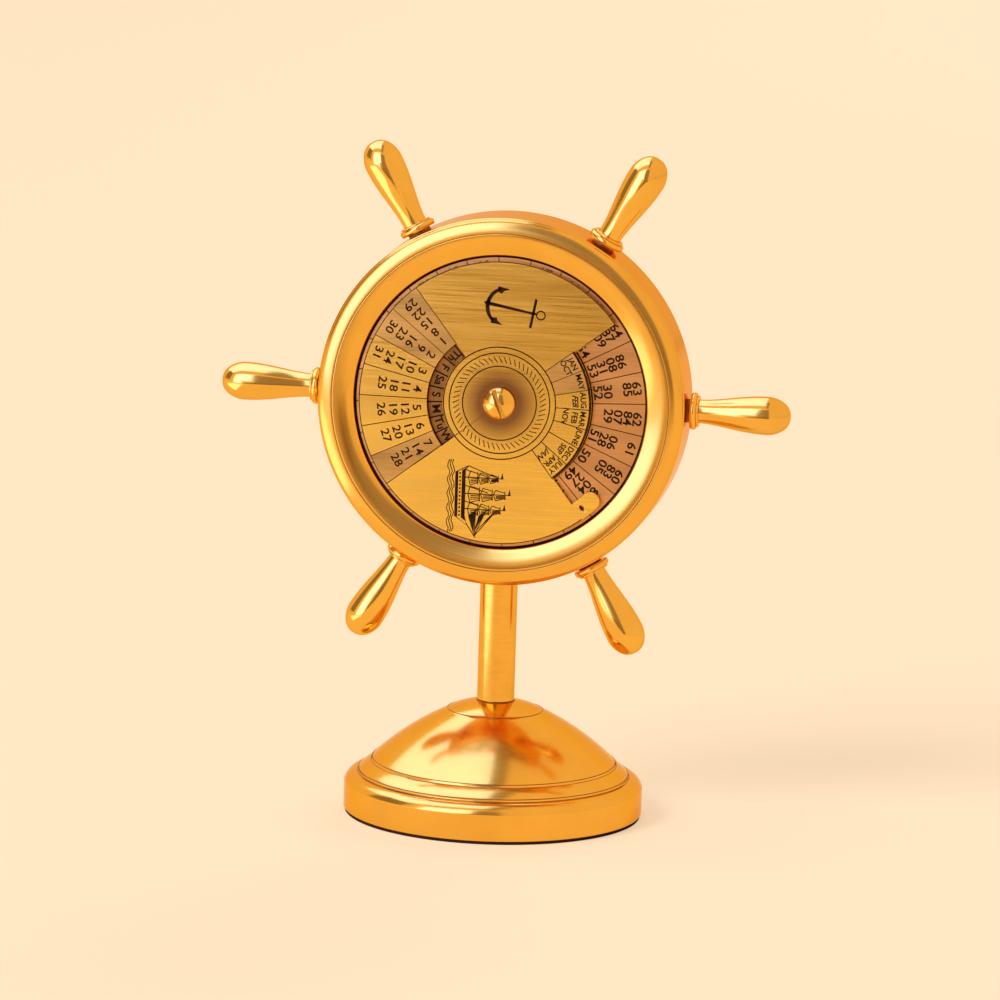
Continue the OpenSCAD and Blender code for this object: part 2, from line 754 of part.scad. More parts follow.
module minute_wheel() {
    color("gold") face_rear() translate([centre_dist, 0, 0]) union() {
        toothed(wheel_teeth, wheel_z, 0);
        toothed(pinion_teeth, hour_wheel_z, 180 / pinion_teeth);
        translate([0, 0, wheel_z + wheel_t - eps]) cylinder(r = 0.8, h = 0.25 + 2 * eps);
        translate([0, 0, shell_back + 0.1]) cylinder(r = pivot_r, h = shell_front - 0.4 - shell_back);
    }
}

module minute_arbor() {
    color(steel) face_rear() union() {
        toothed(cannon_teeth, wheel_z, 180 / cannon_teeth);
        translate([0, 0, shell_back + 0.1]) cylinder(r = pivot_r, h = wheel_z - shell_back);
        translate([0, 0, wheel_z]) cylinder(r = arbor_r, h = nut_z + 0.5 - wheel_z);
    }
}

module hour_wheel() {
    color("gold") face_rear() difference() {
        union() {
            toothed(hour_teeth, hour_wheel_z, 0);
            translate([0, 0, hour_wheel_z]) cylinder(r = pipe_r, h = hour_hand_z + hand_t - hour_wheel_z);
        }
        translate([0, 0, hour_wheel_z - 1]) cylinder(r = arbor_r + run, h = 12);
    }
}

// ---------- hands ----------

// Hand that points up: a boss, a tapering blade with a leaf-shaped end, and a short tail
module hand_form(length, width, boss, hole) {
    leaf = length * 0.3;
    linear_extrude(hand_t) difference() {
        union() {
            circle(r = boss, $fn = 48);
            polygon([
                [-width * 0.5, -length * 0.14], [width * 0.5, -length * 0.14],
                [width * 0.42, length - leaf], [width, length - leaf * 0.72],
                [width * 0.8, length - leaf * 0.45], [0, length],
                [-width * 0.8, length - leaf * 0.45], [-width, length - leaf * 0.72],
                [-width * 0.42, length - leaf]
            ]);
        }
        circle(r = hole, $fn = 48);
    }
}

module hour_hand() {
    color("black") face_rear() translate([0, 0, hour_hand_z]) rotate([0, 0, -30 * shown_time])
        hand_form(hour_len, 1.3, 2, pipe_r + 0.02);
}

module minute_hand() {
    turn = -360 * (shown_time - floor(shown_time));
    color("black") face_rear() translate([0, 0, minute_hand_z]) rotate([0, 0, turn])
        hand_form(minute_len, 1, 1.6, arbor_r + 0.02);
}

module hand_nut() {
    color(brass) face_rear() translate([0, 0, nut_z]) difference() {
        rotate_extrude() polygon(concat([[0, 0], [1.2, 0], [1.2, 0.3]], arc([1.2, 0.35], [0, 0.75], -0.12, 4)));
        translate([0, 0, -1]) cylinder(r = arbor_r + 0.02, h = 1.5 + 0.02);
    }
}

base();
felt_pad();
base_screw();
base_washer();
stem();
drum_body();
calendar_bezel();
year_plate();
calendar_disc();
hub_bush();
wave_washer();
centre_screw();
handle_1();
handle_2();
handle_3();
handle_4();
handle_5();
handle_6();
clock_bezel();
lens();
clock_dial();
grip_ring();
clock_case();
movement_back();
movement_front();
coil();
circuit_board();
button_cell();
cell_cover();
setting_knob();
minute_wheel();
minute_arbor();
hour_wheel();
hour_hand();
minute_hand();
hand_nut();
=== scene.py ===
"""Looks of a ship's-wheel desk clock with calendar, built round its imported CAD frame.

Sizes are in millimetres and are turned to metres where a mesh is drawn. Forms of the
wheel's front are drawn flat, with x to the right, y up and z towards the reader, and
then put on the wheel's axis; forms of its rear are drawn the same way for a reader
behind it.
"""

from __future__ import annotations

import json
import logging
import math
import sys
from collections.abc import Iterable, Sequence
from dataclasses import dataclass, field
from enum import Enum
from typing import Any

import bpy
from mathutils import Matrix, Vector

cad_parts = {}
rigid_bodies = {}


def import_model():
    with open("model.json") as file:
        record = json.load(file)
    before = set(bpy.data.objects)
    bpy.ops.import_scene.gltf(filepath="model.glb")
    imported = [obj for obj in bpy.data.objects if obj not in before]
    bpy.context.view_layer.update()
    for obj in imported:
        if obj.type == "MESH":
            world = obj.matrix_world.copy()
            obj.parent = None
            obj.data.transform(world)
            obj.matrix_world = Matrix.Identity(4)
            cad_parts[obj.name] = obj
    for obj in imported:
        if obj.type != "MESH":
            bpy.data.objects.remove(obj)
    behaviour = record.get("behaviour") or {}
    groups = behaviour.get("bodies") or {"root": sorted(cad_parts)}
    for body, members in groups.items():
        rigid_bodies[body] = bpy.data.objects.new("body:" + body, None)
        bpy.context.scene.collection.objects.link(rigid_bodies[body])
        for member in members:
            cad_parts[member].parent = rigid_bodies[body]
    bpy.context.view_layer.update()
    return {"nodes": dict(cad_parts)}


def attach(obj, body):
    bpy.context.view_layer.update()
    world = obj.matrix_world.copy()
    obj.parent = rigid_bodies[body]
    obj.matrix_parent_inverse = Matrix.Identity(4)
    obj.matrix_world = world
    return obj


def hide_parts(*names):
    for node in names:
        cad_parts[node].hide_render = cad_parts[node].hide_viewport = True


log = logging.getLogger("desk_clock")

MM = 0.001
Point = tuple[float, float]
Colour = tuple[float, float, float, float]

AXIS_Z = 94.5  # height of the wheel's axis above the table
CAP_SHARE = 0.7  # height of a capital letter against the font's size
FRONT = Matrix.Translation((0, 0, AXIS_Z * MM)) @ Matrix.Rotation(math.pi / 2, 4, "X")
REAR = (
    Matrix.Translation((0, 0, AXIS_Z * MM))
    @ Matrix.Rotation(math.pi, 4, "Z")
    @ Matrix.Rotation(math.pi / 2, 4, "X")
)


# ---------- drawing ----------


def polar(radius: float, angle: float) -> Point:
    """Returns the point at a radius and an angle in degrees."""
    return radius * math.cos(math.radians(angle)), radius * math.sin(math.radians(angle))


def bow(start: Point, end: Point, bulge: float, steps: int = 12) -> list[Point]:
    """Draws a circular arc between two points.

    Args:
        start: First point.
        end: Last point.
        bulge: Height of the arc to the left of the way from start to end.
        steps: Number of chords.

    Returns:
        The arc's points, both ends among them.
    """
    a, b = Vector(start), Vector(end)
    along = (b - a).normalized()
    left = Vector((-along.y, along.x))
    length = (b - a).length
    radius = (length * length / 4 + bulge * bulge) / (2 * bulge)
    half = math.asin(length / 2 / radius)
    foot = (a + b) / 2 - left * (radius - bulge)
    angles = [half * (2 * i / steps - 1) for i in range(steps + 1)]
    return [tuple(foot + radius * (math.cos(t) * left + math.sin(t) * along)) for t in angles]


def sweep(radius: float, start: float, end: float, step: float = 1.5) -> list[Point]:
    """Draws an arc round the middle.

    Args:
        radius: Radius of the arc.
        start: First angle, in degrees.
        end: Last angle, in degrees.
        step: Longest angle between two points.

    Returns:
        The arc's points, both ends among them.
    """
    count = max(2, math.ceil(abs(end - start) / step))
    return [polar(radius, start + (end - start) * i / count) for i in range(count + 1)]


def eased(outline: Sequence[Point], radius: float, steps: int = 3) -> list[Point]:
    """Rounds the corners of an outline, as a polisher's wheel does.

    Args:
        outline: Points of an open outline.
        radius: Length taken from each side of a corner, at most.
        steps: Number of chords in each rounded corner.

    Returns:
        The outline with its corners rounded and its bends under 20 degrees left alone.
    """
    points = [Vector(p) for p in outline]
    result = [points[0]]
    for before, corner, after in zip(points, points[1:], points[2:]):
        back, on = before - corner, after - corner
        if min(back.length, on.length) < 1e-6 or math.pi - back.angle(on) < math.radians(20):
            result.append(corner)
            continue
        reach = min(radius, 0.4 * back.length, 0.4 * on.length)
        first, last = corner + back.normalized() * reach, corner + on.normalized() * reach
        for i in range(steps + 1):
            t = i / steps
            result.append(first * (1 - t) ** 2 + corner * 2 * t * (1 - t) + last * t * t)
    return [tuple(p) for p in [*result, points[-1]]]


# ---------- modelling ----------


def select(*pieces: bpy.types.Object) -> None:
    """Selects some pieces alone and makes the first one active."""
    bpy.ops.object.select_all(action="DESELECT")
    for piece in pieces:
        piece.select_set(True)
    if pieces:
        bpy.context.view_layer.objects.active = pieces[0]


def drawn(name: str, lines: Iterable[Sequence[Sequence[float]]], filled: bool = False) -> bpy.types.Object:
    """Draws lines point by point as one mesh.

    Args:
        name: Name of the new piece.
        lines: The lines, each a run of points in millimetres.
        filled: Whether each line is closed and filled with a face.

    Returns:
        The new piece, in object mode.
    """
    select()
    bpy.ops.mesh.primitive_plane_add(size=MM)
    piece = bpy.context.object
    piece.name = name
    bpy.ops.object.mode_set(mode="EDIT")
    bpy.ops.mesh.delete(type="VERT")
    for line in lines:
        points = [Vector((*p, 0.0)[:3]) * MM for p in line]
        bpy.ops.mesh.select_all(action="DESELECT")
        bpy.ops.mesh.primitive_plane_add(size=MM, location=points[0])
        bpy.ops.mesh.merge(type="CENTER")
        for last, point in zip(points, points[1:]):
            bpy.ops.mesh.extrude_vertices_move(TRANSFORM_OT_translate={"value": point - last})
        if filled:
            bpy.ops.mesh.select_linked()
            bpy.ops.mesh.edge_face_add()
    bpy.ops.object.mode_set(mode="OBJECT")
    return piece


def apply(piece: bpy.types.Object, kind: str, **settings: Any) -> bpy.types.Object:
    """Adds a modifier with its settings to a piece, applies it and returns the piece."""
    select(piece)
    modifier = piece.modifiers.new(kind.title(), kind)
    for key, value in settings.items():
        setattr(modifier, key, value)
    bpy.ops.object.modifier_apply(modifier=modifier.name)
    return piece


def smooth(piece: bpy.types.Object, sharp: float = 32) -> bpy.types.Object:
    """Shades a piece smooth except at edges sharper than an angle, and returns it."""
    select(piece)
    bpy.ops.object.shade_smooth_by_angle(angle=math.radians(sharp))
    return apply(piece, "WEIGHTED_NORMAL", keep_sharp=True)


def turned(name: str, outline: Sequence[Point], steps: int = 192) -> bpy.types.Object:
    """Turns an outline round the Z axis, as on a lathe.

    Args:
        name: Name of the new piece.
        outline: Points of radius and height, from axis to axis or closed on itself.
        steps: Number of steps in the full turn.

    Returns:
        The closed and smoothly shaded piece.
    """
    piece = drawn(name, [[(r, 0, z) for r, z in outline]])
    bpy.ops.object.mode_set(mode="EDIT")
    bpy.ops.mesh.select_all(action="SELECT")
    bpy.ops.mesh.spin(steps=steps, angle=2 * math.pi, center=(0, 0, 0), axis=(0, 0, 1))
    bpy.ops.mesh.select_all(action="SELECT")
    bpy.ops.mesh.remove_doubles(threshold=MM * 0.001)
    bpy.ops.mesh.normals_make_consistent(inside=False)
    bpy.ops.object.mode_set(mode="OBJECT")
    return smooth(piece)


def washer(
    name: str, inner: float, outer: float, low: float, high: float, steps: int = 192
) -> bpy.types.Object:
    """Turns a flat ring.

    Args:
        name: Name of the new piece.
        inner: Radius of its hole.
        outer: Its own radius.
        low: Height of its underside.
        high: Height of its top.
        steps: Number of steps in the full turn.

    Returns:
        The ring.
    """
    section = [(inner, low), (outer, low), (outer, high), (inner, high), (inner, low)]
    return turned(name, section, steps)


def cut_sheet(
    name: str, outlines: Iterable[Sequence[Point]], low: float, high: float
) -> bpy.types.Object:
    """Cuts flat forms out of sheet.

    Args:
        name: Name of the new piece.
        outlines: Closed outlines, each a run of points.
        low: Height of the sheet's underside.
        high: Height of its top.

    Returns:
        The piece, with its faces outwards.
    """
    piece = drawn(name, [[(x, y, low) for x, y in line] for line in outlines], filled=True)
    bpy.ops.object.mode_set(mode="EDIT")
    bpy.ops.mesh.select_all(action="SELECT")
    bpy.ops.mesh.extrude_region_move(TRANSFORM_OT_translate={"value": (0, 0, (high - low) * MM)})
    bpy.ops.mesh.select_all(action="SELECT")
    bpy.ops.mesh.normals_make_consistent(inside=False)
    bpy.ops.object.mode_set(mode="OBJECT")
    return piece


def place(piece: bpy.types.Object, where: Matrix) -> bpy.types.Object:
    """Puts a piece where it belongs, leaves its object at the origin, and returns it."""
    select(piece)
    piece.matrix_world = where
    bpy.ops.object.transform_apply(location=True, rotation=True, scale=True)
    return piece


def joined(name: str, pieces: Sequence[bpy.types.Object]) -> bpy.types.Object:
    """Joins pieces into one with the given name, and returns it."""
    select(*pieces)
    if len(pieces) > 1:
        bpy.ops.object.join()
    pieces[0].name = name
    return pieces[0]


def cut(piece: bpy.types.Object, cutter: bpy.types.Object) -> bpy.types.Object:
    """Cuts one piece out of another, removes the cutter and returns the piece."""
    apply(piece, "BOOLEAN", operation="DIFFERENCE", solver="EXACT", object=cutter)
    bpy.data.objects.remove(cutter)
    return piece


def deburred(piece: bpy.types.Object, width: float) -> bpy.types.Object:
    """Breaks a piece's sharp edges by a width in millimetres, smooths it and returns it."""
    sharp = math.radians(40)
    apply(piece, "BEVEL", width=width * MM, segments=2, limit_method="ANGLE", angle_limit=sharp)
    return smooth(piece)


# ---------- finishes ----------


def linear(code: str) -> Colour:
    """Turns an sRGB hex colour to a linear one."""
    parts = [int(code[i : i + 2], 16) / 255 for i in (1, 3, 5)]
    red, green, blue = (p / 12.92 if p <= 0.04045 else ((p + 0.055) / 1.055) ** 2.4 for p in parts)
    return red, green, blue, 1.0


def add(
    tree: bpy.types.NodeTree,
    kind: str,
    settings: dict[str | int, Any] | None = None,
    links: dict[str | int, bpy.types.NodeSocket] | None = None,
) -> bpy.types.Node:
    """Adds a shader node.

    Args:
        tree: Node tree that takes it.
        kind: Kind of node, without the leading ShaderNode.
        settings: Values by input name or number, or by attribute name in lower case.
        links: Sockets to link, by input name or number.

    Returns:
        The new node.
    """
    node = tree.nodes.new(f"ShaderNode{kind}")
    for key, value in (settings or {}).items():
        if isinstance(key, str) and key.islower():
            setattr(node, key, value)
        else:
            node.inputs[key].default_value = value
    for key, socket in (links or {}).items():
        tree.links.new(socket, node.inputs[key])
    return node


def blank(owner: bpy.types.Material | bpy.types.World) -> bpy.types.NodeTree:
    """Empties the node tree of a material or a world, and returns it."""
    owner.use_nodes = True
    owner.node_tree.nodes.clear()
    return owner.node_tree


class Grain(Enum):
    """How the marks of making run on a surface."""

    TURNED_UPRIGHT = "rings round the stem's axis"
    TURNED_WHEEL = "rings round the wheel's axis"
    BRUSHED = "straight lines from left to right"
    EVEN = "the same in every direction"


@dataclass(frozen=True)
class Finish:
    """A material and the marks that its making left on it.

    Attributes:
        name: Name of the material.
        colour: Main colour, sRGB hex.
        shade: Colour that it drifts to in patches, and the colour of any shade painted round the hub, sRGB
            hex.
        drift: Share of the drift, 0 to 1.
        patch: Size of the patches, in millimetres.
        metallic: 1 for bare metal, else 0.
        roughness: Lowest roughness.
        spread: How much rougher the marks are.
        grain: How the marks run.
        pitch: Distance between marks, in millimetres.
        relief: Depth of the marks, in millimetres.
        coat: Weight of a clear lacquer.
        coat_roughness: Roughness of that lacquer.
        clear: Transmission of a clear plastic.
        ior: Index of refraction of what isn't metal.
        streak: Share of the shade that follows the marks.
        halo: Radius round the wheel's axis out to which shade is painted round the centre screw, fading
            outwards, in millimetres.
        rim: Tint of a metal's reflection at a grazing angle, sRGB hex.
    """

    name: str
    colour: str
    shade: str
    drift: float = 0.4
    patch: float = 9.0
    metallic: float = 1.0
    roughness: float = 0.1
    spread: float = 0.06
    grain: Grain = Grain.EVEN
    pitch: float = 0.3
    relief: float = 0.0005
    coat: float = 0.0
    coat_roughness: float = 0.06
    clear: float = 0.0
    ior: float = 1.5
    streak: float = 0.0
    halo: float = 0.0
    rim: str = "#FFFFFF"

    def course(self, tree: bpy.types.NodeTree) -> bpy.types.NodeSocket:
        """Lays out the coordinates that the marks follow.

        Args:
            tree: The material's node tree.

        Returns:
            A socket with coordinates in units of the marks' pitch.
        """
        here = add(tree, "TexCoord").outputs["Object"]
        scale = 1 / (self.pitch * MM)
        if self.grain is Grain.EVEN:
            return add(tree, "Mapping", {"Scale": (scale,) * 3}, {"Vector": here}).outputs[0]
        if self.grain is Grain.BRUSHED:
            lengthways = scale / 60  # a brush line is some sixty times as long as wide
            return add(tree, "Mapping", {"Scale": (lengthways, scale, scale)}, {"Vector": here}).outputs[0]
        upright = self.grain is Grain.TURNED_UPRIGHT
        centre = (0, 0, 0) if upright else (0, 0, -AXIS_Z * MM)
        moved = add(tree, "Mapping", {"Location": centre}, {"Vector": here}).outputs[0]
        parts = add(tree, "SeparateXYZ", links={0: moved}).outputs
        across, along = (parts[1], parts[2]) if upright else (parts[2], parts[1])
        flat = add(tree, "CombineXYZ", links={0: parts[0], 1: across}).outputs[0]
        radius = add(tree, "VectorMath", {"operation": "LENGTH"}, {0: flat}).outputs["Value"]
        angle = add(tree, "Math", {"operation": "ARCTAN2"}, {0: across, 1: parts[0]}).outputs[0]
        short = add(tree, "Math", {"operation": "MULTIPLY", 1: 0.5 / scale}, {0: angle}).outputs[0]
        rings = add(tree, "CombineXYZ", links={0: radius, 1: along, 2: short}).outputs[0]
        return add(tree, "Mapping", {"Scale": (scale,) * 3}, {"Vector": rings}).outputs[0]

    def wear(self, tree: bpy.types.NodeTree, marks: bpy.types.NodeSocket) -> bpy.types.NodeSocket:
        """Works out how far the colour has gone over to its shade, in random patches, along the marks, and as
        painted shade round the hub.

        Args:
            tree: The material's node tree.
            marks: The pattern of the marks.

        Returns:
            A socket from 0 to 1.
        """
        here = add(tree, "TexCoord").outputs["Object"]
        long = 0.25 if self.grain is Grain.BRUSHED else 1.0
        drawn_out = add(tree, "Mapping", {"Scale": (long, 1, 1)}, {"Vector": here}).outputs[0]
        clouds = {"Scale": 1 / (self.patch * MM), "Detail": 4.0}
        patches = add(tree, "TexNoise", clouds, {"Vector": drawn_out})
        limits = {"From Min": 0.35, "From Max": 0.75, "To Max": self.drift}
        share = add(tree, "MapRange", limits, {"Value": patches.outputs[0]}).outputs[0]
        if self.streak:
            limits = {"From Min": 0.35, "From Max": 0.65, "To Max": self.streak}
            lines = add(tree, "MapRange", limits, {"Value": marks}).outputs[0]
            summed = {"operation": "ADD", "use_clamp": True}
            share = add(tree, "Math", summed, {0: share, 1: lines}).outputs[0]
        # painted shade: darkens the brass towards its shade colour round the wheel's axis, where the centre
        # screw stands
        if self.halo:
            centred = {"Location": (0, 0, -AXIS_Z * MM), "Scale": (1, 0, 1)}
            moved = add(tree, "Mapping", centred, {"Vector": here}).outputs[0]
            radius = add(tree, "VectorMath", {"operation": "LENGTH"}, {0: moved}).outputs["Value"]
            edge = self.halo * MM
            limits = {"From Min": 0.45 * edge, "From Max": edge, "To Min": 1.0, "To Max": 0.0}
            ring = add(tree, "MapRange", limits, {"Value": radius}).outputs[0]
            share = add(tree, "Math", {"operation": "MAXIMUM"}, {0: share, 1: ring}).outputs[0]
        return share

    def material(self) -> bpy.types.Material:
        """Makes the material, or returns it if it exists."""
        if self.name in bpy.data.materials:
            return bpy.data.materials[self.name]
        made = bpy.data.materials.new(self.name)
        tree = blank(made)
        marks = add(tree, "TexNoise", {"Scale": 1.0, "Detail": 3.0}, {"Vector": self.course(tree)}).outputs[0]
        tint = add(tree, "Mix", {"data_type": "RGBA", 6: linear(self.colour), 7: linear(self.shade)})
        tree.links.new(self.wear(tree, marks), tint.inputs[0])
        rough = add(
            tree,
            "MapRange",
            {
                "From Min": 0.3,
                "From Max": 0.7,
                "To Min": self.roughness,
                "To Max": self.roughness + self.spread,
            },
            {"Value": marks},
        )
        bump = add(tree, "Bump", {"Strength": 0.6, "Distance": self.relief * MM}, {"Height": marks})
        body = add(
            tree,
            "BsdfPrincipled",
            {
                "Metallic": self.metallic,
                "IOR": self.ior,
                "Coat Weight": self.coat,
                "Coat Roughness": self.coat_roughness,
                "Transmission Weight": self.clear,
                "Specular Tint": linear(self.rim),
            },
            {"Base Color": tint.outputs[2], "Roughness": rough.outputs[0], "Normal": bump.outputs[0]},
        )
        add(tree, "OutputMaterial", links={"Surface": body.outputs[0]})
        return made


# Cast brass, turned, buffed and lacquered: it mirrors the room a little softly, since
# the buffing left faint rings
BUFFED_BASE = Finish(
    "cast_brass_buffed", "#F4B744", "#E2A036", drift=0.35, roughness=0.13, spread=0.08,
    grain=Grain.TURNED_UPRIGHT, coat=0.25, rim="#F6D08C",
)
# Turned brass rod, buffed along its length with faint chatter marks
BUFFED_ROD = Finish(
    "brass_rod_buffed", "#F4B744", "#DC9C36", drift=0.4, patch=5, roughness=0.13, spread=0.1,
    grain=Grain.TURNED_UPRIGHT, pitch=0.5, relief=0.001, coat=0.3, streak=0.1, rim="#F6D08C",
)
# Turned brass handles: the sharpest mirror of the piece
BUFFED_HANDLE = Finish(
    "brass_handle_buffed", "#F4BA48", "#E2A43C", roughness=0.1, coat=0.3, rim="#F6D08C"
)
# Spun brass of the drum and bezel: a soft gleam with faint rings round the axis
SPUN_BRASS = Finish(
    "spun_brass_lacquered", "#F4B746", "#E0A03C", roughness=0.13, spread=0.08, grain=Grain.TURNED_WHEEL,
    pitch=0.35, relief=0.0008, coat=0.15, rim="#F4C67A",
)
# Brass sheet, brushed from side to side before it was etched: a satin glow, with brown shade painted round
# the centre screw
BRUSHED_DISC = Finish(
    "brass_sheet_brushed", "#FFCA50", "#946230", drift=0.16, patch=7, roughness=0.15, spread=0.12,
    grain=Grain.BRUSHED, pitch=0.28, relief=0.002, coat=0.2, streak=0.1, halo=10.4,
)
# The fixed plate's brass sheet: paler and duller than the disc
BRUSHED_PLATE = Finish(
    "brass_sheet_dulled", "#E8A350", "#A86C32", drift=0.6, patch=7, roughness=0.3, spread=0.16,
    grain=Grain.BRUSHED, pitch=0.28, relief=0.002, streak=0.2,
)
# Etched cells that the etching bath browned
BROWNED_CELL = Finish(
    "brass_sheet_browned", "#E2A648", "#9C6C2C", drift=0.6, patch=6, roughness=0.3, spread=0.16,
    grain=Grain.BRUSHED, pitch=0.28, relief=0.002, streak=0.25,
)
# Deeply etched ring that carries the weekdays, seen through the disc's window: its dark brown is painted
# shade of that recess
ETCHED_RING_PAINTED_SHADE = Finish(
    "brass_etched_painted_shade", "#A8702E", "#704618", drift=0.7, patch=3, roughness=0.4, spread=0.2,
    pitch=0.4, relief=0.006,
)
# Dark brown enamel wiped into the etched marks: dull, since it lies below the brass. The same brown also
# paints shadow bands on the plate and shade on the disc's cut edge and dimple
ENAMEL_AND_PAINTED_SHADE = Finish(
    "enamel_and_painted_shade_dark_brown", "#24140A", "#4A3018", drift=0.6, patch=2, metallic=0.0, roughness=0.8,
    spread=0.1, relief=0.002, ior=1.06,
)
# Brown brass laid in the base's grooves, round the stem's foot, in the bezel's crease and opening and on the
# handles' necks: painted shade where grooves, steps, gaps and joints lie in shadow, with some tarnish where
# no polishing wheel reaches
CREASE_TARNISH_AND_SHADE = Finish(
    "brass_crease_tarnish_and_painted_shade", "#A8662E", "#6E3E18", drift=0.8, patch=3, roughness=0.4, spread=0.2,
    relief=0.002,
)
# Pressed wool felt: dull, with a fine nap
WOOL_FELT = Finish(
    "wool_felt_dark", "#3A2418", "#24160E", drift=0.8, patch=2, metallic=0.0, roughness=0.95, spread=0.05,
    pitch=0.4, relief=0.15, ior=1.1,
)
# Zinc-plated steel screw and washer: grey with a soft gleam
ZINC_STEEL = Finish(
    "steel_zinc_plated", "#C9CACC", "#A9ABB0", roughness=0.28, spread=0.12, grain=Grain.TURNED_UPRIGHT,
    pitch=0.4, relief=0.002,
)
# Blued spring steel of the wave washer
SPRING_STEEL = Finish("steel_spring_blued", "#8E9096", "#6A6E78", roughness=0.3, spread=0.1)
# Clear acrylic of the lens
ACRYLIC_LENS = Finish(
    "acrylic_clear", "#F8FAFC", "#FFFFFF", drift=0.1, metallic=0.0, roughness=0.0, spread=0.01, clear=1.0,
    ior=1.49, relief=0.0,
)
# Satin lacquer on the dial
DIAL_LACQUER = Finish(
    "lacquer_satin_white", "#F4F0E4", "#E8E2D2", metallic=0.0, roughness=0.45, spread=0.08, relief=0.001
)
# Moulded black ABS of the clock's case: fine spark-eroded texture
ABS_CASE = Finish(
    "abs_black_textured", "#161616", "#202020", metallic=0.0, roughness=0.5, spread=0.12, pitch=0.25,
    relief=0.01,
)
# Moulded grey ABS of the movement's housing
ABS_HOUSING = Finish(
    "abs_grey_moulded", "#55565A", "#4A4B50", metallic=0.0, roughness=0.42, spread=0.08, pitch=0.3,
    relief=0.003,
)
# Nitrile rubber of the grip ring: dull, with a bloom
NITRILE_RING = Finish(
    "rubber_nitrile", "#1C1C1C", "#2A2A2A", metallic=0.0, roughness=0.7, spread=0.1, pitch=0.5, relief=0.008
)
# Enamelled copper winding
COPPER_WINDING = Finish(
    "copper_wire_enamelled", "#B4602C", "#8C451C", roughness=0.25, spread=0.15, pitch=0.12, relief=0.02
)
# Solder mask on the circuit board
SOLDER_MASK = Finish(
    "solder_mask_green", "#1F6B3C", "#18552F", metallic=0.0, roughness=0.3, spread=0.1, relief=0.003
)
# Nickel-plated can of the button cell
NICKEL_CELL = Finish("nickel_plated", "#D6D4CE", "#BEBCB6", roughness=0.16, spread=0.08)
# Moulded nylon gears
NYLON_GEAR = Finish(
    "nylon_moulded", "#E6DCB8", "#D8CC9E", metallic=0.0, roughness=0.4, spread=0.1, relief=0.002
)
# Black lacquer on the hands
BLACK_HAND = Finish(
    "lacquer_black", "#101010", "#1A1A1A", metallic=0.0, roughness=0.22, spread=0.06, relief=0.0005
)


def dress(piece: bpy.types.Object, finish: Finish) -> bpy.types.Object:
    """Gives a piece one finish all over, and returns it."""
    piece.data.materials.clear()
    piece.data.materials.append(finish.material())
    return piece


def hand_over(
    piece: bpy.types.Object, finish: Finish, body: str, slot: str, *nodes: str
) -> bpy.types.Object:
    """Dresses a new piece and tells the frame about it.

    Args:
        piece: The finished mesh, in place.
        finish: Its finish.
        body: CAD body that it moves with.
        slot: The record's material slot; not used.
        nodes: CAD nodes that it stands for.

    Returns:
        The piece.
    """
    dress(piece, finish)
    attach(piece, body)
    if nodes:
        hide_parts(*nodes)
    log.info("%s: %d faces, on %s", piece.name, len(piece.data.polygons), body)
    return piece


# ---------- etched and printed marks ----------


class Tops(Enum):
    """Which way the tops of letters point."""

    OUT = -90
    IN = 90


